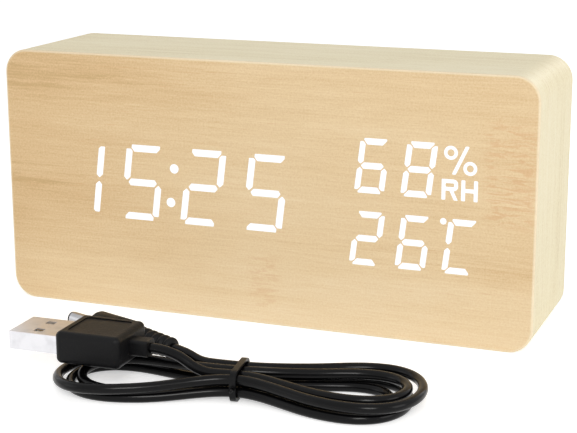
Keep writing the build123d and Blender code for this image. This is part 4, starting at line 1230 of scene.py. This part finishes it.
@dataclass
class FlatPlug:
    """The flat plug, modelled along +X from its cord's entry."""

    window_from_entry: float = 0.0281
    window_spacing: float = 0.0059
    window_length: float = 0.0023
    shell_half_height: float = 0.00225
    shell_wall: float = 0.0003
    tab_width: float = 0.0014
    tab_length: float = 0.0019
    tab_thickness: float = 0.0002
    tab_dip: float = 0.0006
    tab_bends: tuple[float, ...] = (0.4, 0.7, 0.95)
    tab_rounding_share: float = 0.25
    tab_count: int = 4

    def spring_tab(self) -> bpy.types.Object:
        """Makes one sprung tab, cut from the shell and bent down inside its window.

        Returns:
            The tab.
        """
        root = self.window_from_entry - self.window_length / 2 - self.shell_wall
        side = self.window_spacing / 2
        top = self.shell_half_height - self.shell_wall
        low = Vector((root, side - self.tab_width / 2, top - self.tab_thickness))
        high = Vector((root + self.tab_length, side + self.tab_width / 2, top))
        tab = Workbench.cube("spring_tab", low, high)
        Workbench.pick_edges(tab, lambda start, end: abs(start.x - end.x) > self.tab_length / 2)
        bpy.ops.mesh.subdivide(number_cuts=len(self.tab_bends))
        for share in self.tab_bends:
            reach = root + self.tab_length * share
            Workbench.pick_faces(tab, lambda middle, normal: middle.x > reach)
            bpy.ops.transform.translate(value=(0.0, 0.0, -self.tab_dip / len(self.tab_bends)))
        bpy.ops.object.mode_set(mode="OBJECT")
        Workbench.round_edges(tab, self.tab_thickness * self.tab_rounding_share)
        return tab

    def build(self, wardrobe: Wardrobe, place: Matrix) -> list[bpy.types.Object]:
        """Makes the sprung tabs and dresses the plug.

        Args:
            wardrobe: the finishes.
            place: the plug's place.

        Returns:
            The pieces of the plug.
        """
        first = self.spring_tab()
        numbers = range(2, self.tab_count + 1)
        tabs = [first] + [Workbench.copy(first, f"spring_tab_{number}") for number in numbers]
        first.name = "spring_tab_1"
        for number, tab in enumerate(tabs):
            mirror_side = Matrix.Translation(Vector((0.0, -self.window_spacing * (number % 2), 0.0)))
            turn_over = Matrix.Rotation(pi * (number // 2), 4, "X")
            Workbench.settle(tab, place @ turn_over @ mirror_side)
            wardrobe.dress(tab, Finish.NICKEL)
            add_piece(tab, "clock")
        wardrobe.dress_nodes({
            Finish.SOFT_PLUG: ["usb_overmold"],
            Finish.NICKEL: ["usb_shell"],
            Finish.WHITE_ABS: ["usb_tongue"],
            Finish.CONTACT_GOLD: ["usb_contacts"],
        })
        carried = ("usb_overmold", "usb_shell", "usb_tongue", "usb_contacts")
        return tabs + [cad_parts[name] for name in carried]


@dataclass
class RoundPlug:
    """The round plug with its ribbed strain relief and its ringed grip, modelled along +X."""

    relief_length: float = 0.0129
    relief_end_radius: float = 0.0025
    relief_root_radius: float = 0.0032
    rib_count: int = 6
    groove_depth: float = 0.00055
    body_length: float = 0.0145
    body_radius: float = 0.0039
    chamfer: float = 0.001
    ring_count: int = 7
    ring_pitch: float = 0.00075
    ring_depth: float = 0.00025
    sides: int = 56
    smooth_angle: float = 50.0
    rib_shape: tuple[Span, ...] = (
        (0.0, 0.6), (0.08, 0.2), (0.2, 0.0), (0.42, 0.0), (0.54, 0.2), (0.62, 1.0), (0.92, 1.0),
    )
    ring_shape: tuple[Span, ...] = ((0.0, 0.0), (0.2, 1.0), (0.45, 1.0), (0.65, 0.0))
    nose_shape: tuple[Span, ...] = ((1.0, 0.0), (0.45, 0.2), (0.1, 0.6), (0.0, 1.0))

    def profile(self) -> list[tuple[float, float]]:
        """Gives the places along the plug with their radii, from the cord's entry on.

        Returns:
            The places with their radii.
        """
        start, end = self.relief_length, self.relief_length + self.body_length
        pitch = start / self.rib_count
        growth = (self.relief_root_radius - self.relief_end_radius) / start
        points = []
        for rib in range(self.rib_count):
            for share, depth in self.rib_shape:
                place = pitch * (rib + share)
                radius = self.relief_end_radius + growth * place
                points.append((place, radius - self.groove_depth * depth))
        edge = self.chamfer / 2
        points += [(start, self.body_radius - edge), (start + edge, self.body_radius)]
        for ring in range(self.ring_count):
            for share, depth in self.ring_shape:
                place = start + self.chamfer + self.ring_pitch * (ring + share)
                points.append((place, self.body_radius - self.ring_depth * depth))
        for back, depth in self.nose_shape:
            points.append((end - self.chamfer * back, self.body_radius - self.chamfer * depth))
        return points

    def build(self, wardrobe: Wardrobe, place: Matrix) -> list[bpy.types.Object]:
        """Makes the moulded body and dresses the plug.

        Args:
            wardrobe: the finishes.
            place: the plug's place.

        Returns:
            The pieces of the plug.
        """
        body = Workbench.turned("round_plug_grip", self.profile(), self.sides)
        Workbench.settle(body, place, self.smooth_angle)
        wardrobe.dress(body, Finish.SOFT_PLUG)
        add_piece(body, "clock")
        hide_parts("dc_plug_body")
        wardrobe.dress_nodes({
            Finish.BRIGHT_STEEL: ["dc_plug_barrel"],
            Finish.BLACK_NYLON: ["dc_plug_insulator"],
        })
        return [body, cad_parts["dc_plug_barrel"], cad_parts["dc_plug_insulator"]]


@dataclass
class ChargingLead:
    """The thin cord wound in a hank and tied, with a plug at each end."""

    diameter: float = 0.0025
    length: float = 0.7195
    place: tuple[float, float] = (0.017, -0.072)
    yaw: float = 8.0
    strand_gap: float = 0.0005
    reach: float = 0.0453
    half_width: float = 0.0143
    spread_length: float = 0.042
    rest_gap: float = 0.00004
    tail: float = 0.0025
    tie_thickness: float = 0.0009
    tie_clearance: float = 0.0002
    reach_shares: tuple[float, ...] = (0.878, 0.86, 0.791, 0.918, 0.884, 0.975, 0.954, 0.981)
    half_width_shares: tuple[float, ...] = (0.615, 0.54, 0.541, 0.744, 0.883, 1.017, 0.952, 1.015)
    column_shares: tuple[float, ...] = (0.5, 0.5, 0.5, 0.5, 1.5, 1.5, 1.5, 1.5, 1.5)
    layer_shares: tuple[float, ...] = (1.0, 1.0, 0.0, 0.0, 0.0, 0.0, 1.0, 1.0, 1.0)
    pinch_share: float = 0.25
    climb_start_share: float = 0.15
    climb_end_share: float = 0.85
    lift_end_share: float = 0.5
    last_turn_share: float = 0.035
    points_per_half_loop: int = 30
    steps_between_points: int = 5
    strips_per_quarter: int = 5
    usb_route: tuple[tuple[float, float, float], ...] = (
        (-0.022, 0.0005, 0.00981), (-0.0162, -0.00021, 0.00981), (-0.0093, -0.0015, 0.00539),
    )
    dc_route: tuple[tuple[float, float, float], ...] = (
        (-0.0117, 0.00716, 0.00486), (-0.016, 0.0092, 0.0063), (-0.02006, 0.01136, 0.0063),
    )
    usb_yaw: float = 173.0
    dc_yaw: float = 152.0

    @property
    def pitch(self) -> float:
        """The distance between neighbouring strands."""
        return self.diameter + self.strand_gap

    @property
    def ground(self) -> Matrix:
        """The place of the hank on the surface."""
        turn = Matrix.Rotation(radians(self.yaw), 4, "Z")
        return Matrix.Translation(Vector((*self.place, 0.0))) @ turn

    @staticmethod
    def _smooth(share: float, start: float, end: float) -> float:
        """Gives a share of the way that starts and ends level.

        Args:
            share: the value.
            start: where the way starts.
            end: where it ends.

        Returns:
            The share, from 0 to 1.
        """
        part = min(max((share - start) / (end - start), 0.0), 1.0)
        return part * part * (3 - 2 * part)

    def _pinch(self, share: float) -> float:
        """Gives how far the strands have spread at a share of the way out from the tie."""
        return sqrt(share * share + self.pinch_share ** 2) - self.pinch_share

    def hank_point(self, turn: float) -> Vector:
        """Gives a point of the hank.

        Args:
            turn: how many half loops lie before it.

        Returns:
            The point, in the hank's own frame.
        """
        index = floor(turn)
        part = turn - index
        reach = self.reach * self.reach_shares[index]
        half_width = self.half_width * self.half_width_shares[index]
        column, next_column = (self.pitch * self.column_shares[index + step] for step in (0, 1))
        waist = column + (next_column - column) * self._smooth(part, 0.0, 1.0)
        widest = sqrt(1 / 2)
        spread = half_width / widest - (column + next_column) / 2
        spread /= self._pinch(reach * widest / self.spread_length)
        angle = pi * (turn - 1 / 2)
        out = reach * cos(angle)
        across = sin(angle) * (waist + spread * self._pinch(out / self.spread_length))
        layer, next_layer = self.layer_shares[index], self.layer_shares[index + 1]
        climb = layer + (next_layer - layer) * self._smooth(
            part, self.climb_start_share, self.climb_end_share)
        lift = self.tie_thickness + self.tie_clearance
        lift *= 1 - self._smooth(abs(out) / self.spread_length, 0.0, self.lift_end_share)
        level = self.diameter / 2 + self.rest_gap
        return Vector((out, across, level + self.pitch * climb + lift))

    def route(self) -> list[Vector]:
        """Gives the control points of the whole cord, from the flat plug to the round one.

        Returns:
            The points, in the clock's frame.
        """
        last_turn = len(self.reach_shares) - 1 + self.last_turn_share
        steps = round(last_turn * self.points_per_half_loop)
        coil = [self.hank_point(last_turn * step / steps) for step in range(steps + 1)]
        heading = (coil[-1] - coil[-2]).normalized()
        points = [Vector(point) for point in self.usb_route]
        points.append(coil[0] - Vector((self.tail, 0.0, 0.0)))
        points += coil
        points.append(coil[-1] + heading * self.tail)
        points += [Vector(point) for point in self.dc_route]
        return [self.ground @ point for point in points]

    def cord(self) -> bpy.types.Object:
        """Makes the cord as one smooth spline.

        Returns:
            The cord.
        """
        points = self.route()
        data = bpy.data.curves.new("charging_cord", "CURVE")
        data.dimensions = "3D"
        data.resolution_u = self.steps_between_points
        data.bevel_depth = self.diameter / 2
        data.bevel_resolution = self.strips_per_quarter
        data.use_fill_caps = True
        spline = data.splines.new("NURBS")
        spline.points.add(len(points) - 1)
        for control, point in zip(spline.points, points):
            control.co = (*point, 1.0)
        spline.order_u = 3
        spline.use_endpoint_u = True
        cord = bpy.data.objects.new("charging_cord", data)
        bpy.context.scene.collection.objects.link(cord)
        return cord

    def plug_place(self, end: tuple[float, float, float], yaw: float) -> Matrix:
        """Gives the place of a plug from its cord's entry in the hank's frame and its yaw in degrees."""
        turn = Matrix.Rotation(radians(yaw), 4, "Z")
        return self.ground @ Matrix.Translation(Vector(end)) @ turn

    def build(self, wardrobe: Wardrobe) -> None:
        """Makes the cord and all that is on it.

        Args:
            wardrobe: the finishes.
        """
        cord = self.cord()
        wardrobe.dress(cord, Finish.CORD_JACKET)
        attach(cord, "clock")
        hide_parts("cord_hank", "cord_lead_usb", "cord_lead_dc")
        pieces = TwistTie().build(wardrobe, self.ground)
        pieces += FlatPlug().build(wardrobe, self.plug_place(self.usb_route[0], self.usb_yaw))
        pieces += RoundPlug().build(wardrobe, self.plug_place(self.dc_route[-1], self.dc_yaw))
        tuple(self.route()[0])
        log.info("charging lead ready: %d pieces on the cord", len(pieces))


@dataclass
class WoodenBlock:
    """The veneered block itself."""

    def build(self, wardrobe: Wardrobe) -> None:
        """Dresses the block from the wardrobe."""
        wardrobe.dress_nodes({
            Finish.FACE_VENEER: ["front_veneer"],
            Finish.SIDE_VENEER: ["side_veneer", "base_veneer"],
            Finish.FIBREBOARD: ["front_board", "case_frame"],
        })
        log.info("wooden block ready")


@dataclass
class Display:
    """The figures and what lies behind them."""

    def build(self, wardrobe: Wardrobe) -> None:
        """Dresses the display from the wardrobe."""
        wardrobe.dress_nodes({
            Finish.LIT_GUIDE: ["time_segments", "humidity_segments", "temperature_segments"],
            Finish.WHITE_ABS: ["display_reflector", "unlit_segments"],
            Finish.CIRCUIT_BOARD: ["display_board"],
            Finish.LAMP_RESIN: ["display_leds"],
            Finish.BRIGHT_STEEL: ["display_screws"],
        })
        log.info("display ready")


@dataclass
class Back:
    """The cover with its battery bay, door, buttons and screws."""

    bay_left: float = -0.063
    bay_right: float = -0.011
    bay_floor: float = 0.005
    row_levels: tuple[float, ...] = (0.02433, 0.0355, 0.04667)
    mark_arm: float = 0.0014
    mark_stroke: float = 0.0007
    mark_height: float = 0.0002
    mark_inset: float = 0.0125
    cover_face: float = 0.0185
    door_arrow: Span = (-0.037, 0.029)
    arrow_radius: float = 0.0019
    arrow_height: float = 0.00025
    button_columns: tuple[float, ...] = (0.013, 0.026, 0.039)
    label_level: float = 0.0545
    label_radius: float = 0.0014
    label_height: float = 0.0001
    arrow_corners: int = 3
    arrow_inset_share: float = 0.2
    arrow_drop_share: float = 0.5
    ring_wall_share: float = 0.4
    ring_sides: int = 40
    rounding_share: float = 0.25
    shallow_edge: float = 30.0

    def bar(self, name: str, x: float, z: float) -> bpy.types.Object:
        """Makes a short raised bar on the floor of the bay.

        Args:
            name: its name.
            x: the place of its middle along the width.
            z: the height of its middle.

        Returns:
            The bar.
        """
        half = self.mark_stroke / 2
        centre = Vector((x, self.bay_floor, z))
        low = centre - Vector((half, half, half))
        bar = Workbench.cube(name, low, centre + Vector((half, self.mark_height, half)))
        for way in (1, -1):
            Workbench.pick_faces(bar, lambda middle, normal: normal.x * way > Workbench.FACING)
            Workbench.pull_out(self.mark_arm * way, 0.0, 0.0)
        bpy.ops.object.mode_set(mode="OBJECT")
        return bar

    def cross(self, name: str, x: float, z: float) -> bpy.types.Object:
        """Makes a raised plus sign on the floor of the bay.

        Args:
            name: its name.
            x: the place of its middle along the width.
            z: the height of its middle.

        Returns:
            The plus sign.
        """
        cross = self.bar(name, x, z)
        half = self.mark_stroke / 2
        for way in (1, -1):
            Workbench.pick_faces(cross, lambda middle, normal: (
                normal.z * way > Workbench.FACING and abs(middle.x - x) < half))
            Workbench.pull_out(0.0, 0.0, self.mark_arm * way)
        bpy.ops.object.mode_set(mode="OBJECT")
        return cross

    def polarity_marks(self) -> bpy.types.Object:
        """Makes the plus and minus signs of the three cell rows, turned about from row to row.

        Returns:
            The signs as one piece.
        """
        marks = []
        for row, level in enumerate(self.row_levels):
            ends = [self.bay_left + self.mark_inset, self.bay_right - self.mark_inset]
            minus, plus = ends if row % 2 == 0 else ends[::-1]
            marks.append(self.bar(f"minus_{row}", minus, level))
            marks.append(self.cross(f"plus_{row}", plus, level))
        signs = Workbench.join("polarity_marks", marks)
        Workbench.round_edges(signs, self.mark_height * self.rounding_share)
        Workbench.settle(signs)
        return signs

    def disc(self, name: str, sides: int, place: Span, size: Span, up: bool = False) -> bpy.types.Object:
        """Adds a low disc that stands half out of the back.

        Args:
            name: its name.
            sides: how many sides it has.
            place: its middle, along the width and up.
            size: its radius and how far it stands out.
            up: whether its first corner points up rather than down.

        Returns:
            The disc.
        """
        Workbench.clear()
        bpy.ops.mesh.primitive_cylinder_add(
            vertices=sides, radius=size[0], depth=size[1] * 2,
            location=(place[0], self.cover_face, place[1]),
            rotation=(pi / 2 if up else -pi / 2, 0.0, 0.0),
        )
        Workbench.fix_place()
        bpy.context.object.name = name
        return bpy.context.object

    def finish_sign(self, sign: bpy.types.Object, height: float) -> bpy.types.Object:
        """Rounds and closes a sign that stands so far out of the back.

        Args:
            sign: the sign, in edit mode.
            height: how far it stands out.

        Returns:
            The same sign.
        """
        bpy.ops.object.mode_set(mode="OBJECT")
        Workbench.round_edges(sign, height * self.rounding_share, self.shallow_edge)
        Workbench.settle(sign)
        return sign

    def arrow(self, name: str, place: Span, size: Span, up: bool) -> bpy.types.Object:
        """Makes a raised triangular arrow on the back.

        Args:
            name: its name.
            place: its middle, along the width and up.
            size: how far its points lie from its middle, and how far it stands out.
            up: whether it points up.

        Returns:
            The arrow.
        """
        radius, height = size
        arrow = self.disc(name, self.arrow_corners, place, size, up)
        Workbench.pick_faces(arrow, lambda middle, normal: normal.y > Workbench.FACING)
        bpy.ops.mesh.inset(thickness=radius * self.arrow_inset_share)
        bpy.ops.transform.translate(value=(0.0, -height * self.arrow_drop_share, 0.0))
        return self.finish_sign(arrow, height)

    def labels(self) -> list[bpy.types.Object]:
        """Makes the pale signs above the three buttons: a ring and two arrows.

        Returns:
            The signs.
        """
        set_place, up_place, down_place = ((column, self.label_level) for column in self.button_columns)
        size = (self.label_radius, self.label_height)
        ring = self.disc("set_label", self.ring_sides, set_place, size)
        Workbench.pick_faces(ring, lambda middle, normal: abs(normal.y) > Workbench.FACING)
        bpy.ops.mesh.inset(thickness=self.label_radius * self.ring_wall_share)
        bpy.ops.mesh.bridge_edge_loops()
        self.finish_sign(ring, self.label_height)
        return [
            ring,
            self.arrow("up_label", up_place, size, True),
            self.arrow("down_label", down_place, size, False),
        ]

    def build(self, wardrobe: Wardrobe) -> None:
        """Makes the raised signs and dresses the back.

        Args:
            wardrobe: the finishes.
        """
        arrow_size = (self.arrow_radius, self.arrow_height)
        door_arrow = self.arrow("door_arrow", self.door_arrow, arrow_size, False)
        for piece, body in ((self.polarity_marks(), "clock"), (door_arrow, "battery_door")):
            wardrobe.dress(piece, Finish.BLACK_ABS)
            add_piece(piece, body)
        for label in self.labels():
            wardrobe.dress(label, Finish.WHITE_ABS)
            add_piece(label, "clock")
        wardrobe.dress_nodes({
            Finish.BLACK_ABS: ["back_cover", "battery_door"],
            Finish.BUTTON_ABS: ["set_button", "up_button", "down_button"],
            Finish.BLACK_STEEL: ["cover_screws"],
            Finish.BRIGHT_STEEL: ["battery_contacts", "battery_springs"],
            Finish.RED_SLEEVE: ["battery_wire_red"],
            Finish.BLACK_NYLON: ["battery_wire_black"],
        })
        log.info("back ready")


@dataclass
class MainBoard:
    """The main board and the parts on it."""

    def build(self, wardrobe: Wardrobe) -> None:
        """Dresses the main board from the wardrobe."""
        wardrobe.dress_nodes({
            Finish.CIRCUIT_BOARD: ["main_board"],
            Finish.BRIGHT_STEEL: ["main_board_screws", "dc_inlet_pin", "microphone", "clock_crystal",
                                  "coin_cell"],
            Finish.CHIP_RESIN: ["button_switches", "control_chips", "buzzer"],
            Finish.BLACK_NYLON: ["dc_inlet"],
            Finish.CREAM_NYLON: ["humidity_sensor", "coin_holder", "ribbon_connectors", "set_plunger",
                                 "up_plunger", "down_plunger"],
            Finish.RIBBON_SLEEVE: ["ribbon_cable"],
        })
        log.info("main board ready")


def main() -> None:
    """Builds the scene, piece by piece."""
    logging.basicConfig(level=logging.INFO, format="%(name)s: %(message)s")
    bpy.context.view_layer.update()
    wardrobe = Wardrobe()
    Studio().build()
    ChargingLead().build(wardrobe)
    WoodenBlock().build(wardrobe)
    Display().build(wardrobe)
    Back().build(wardrobe)
    MainBoard().build(wardrobe)


if __name__ == "__main__":
    main()
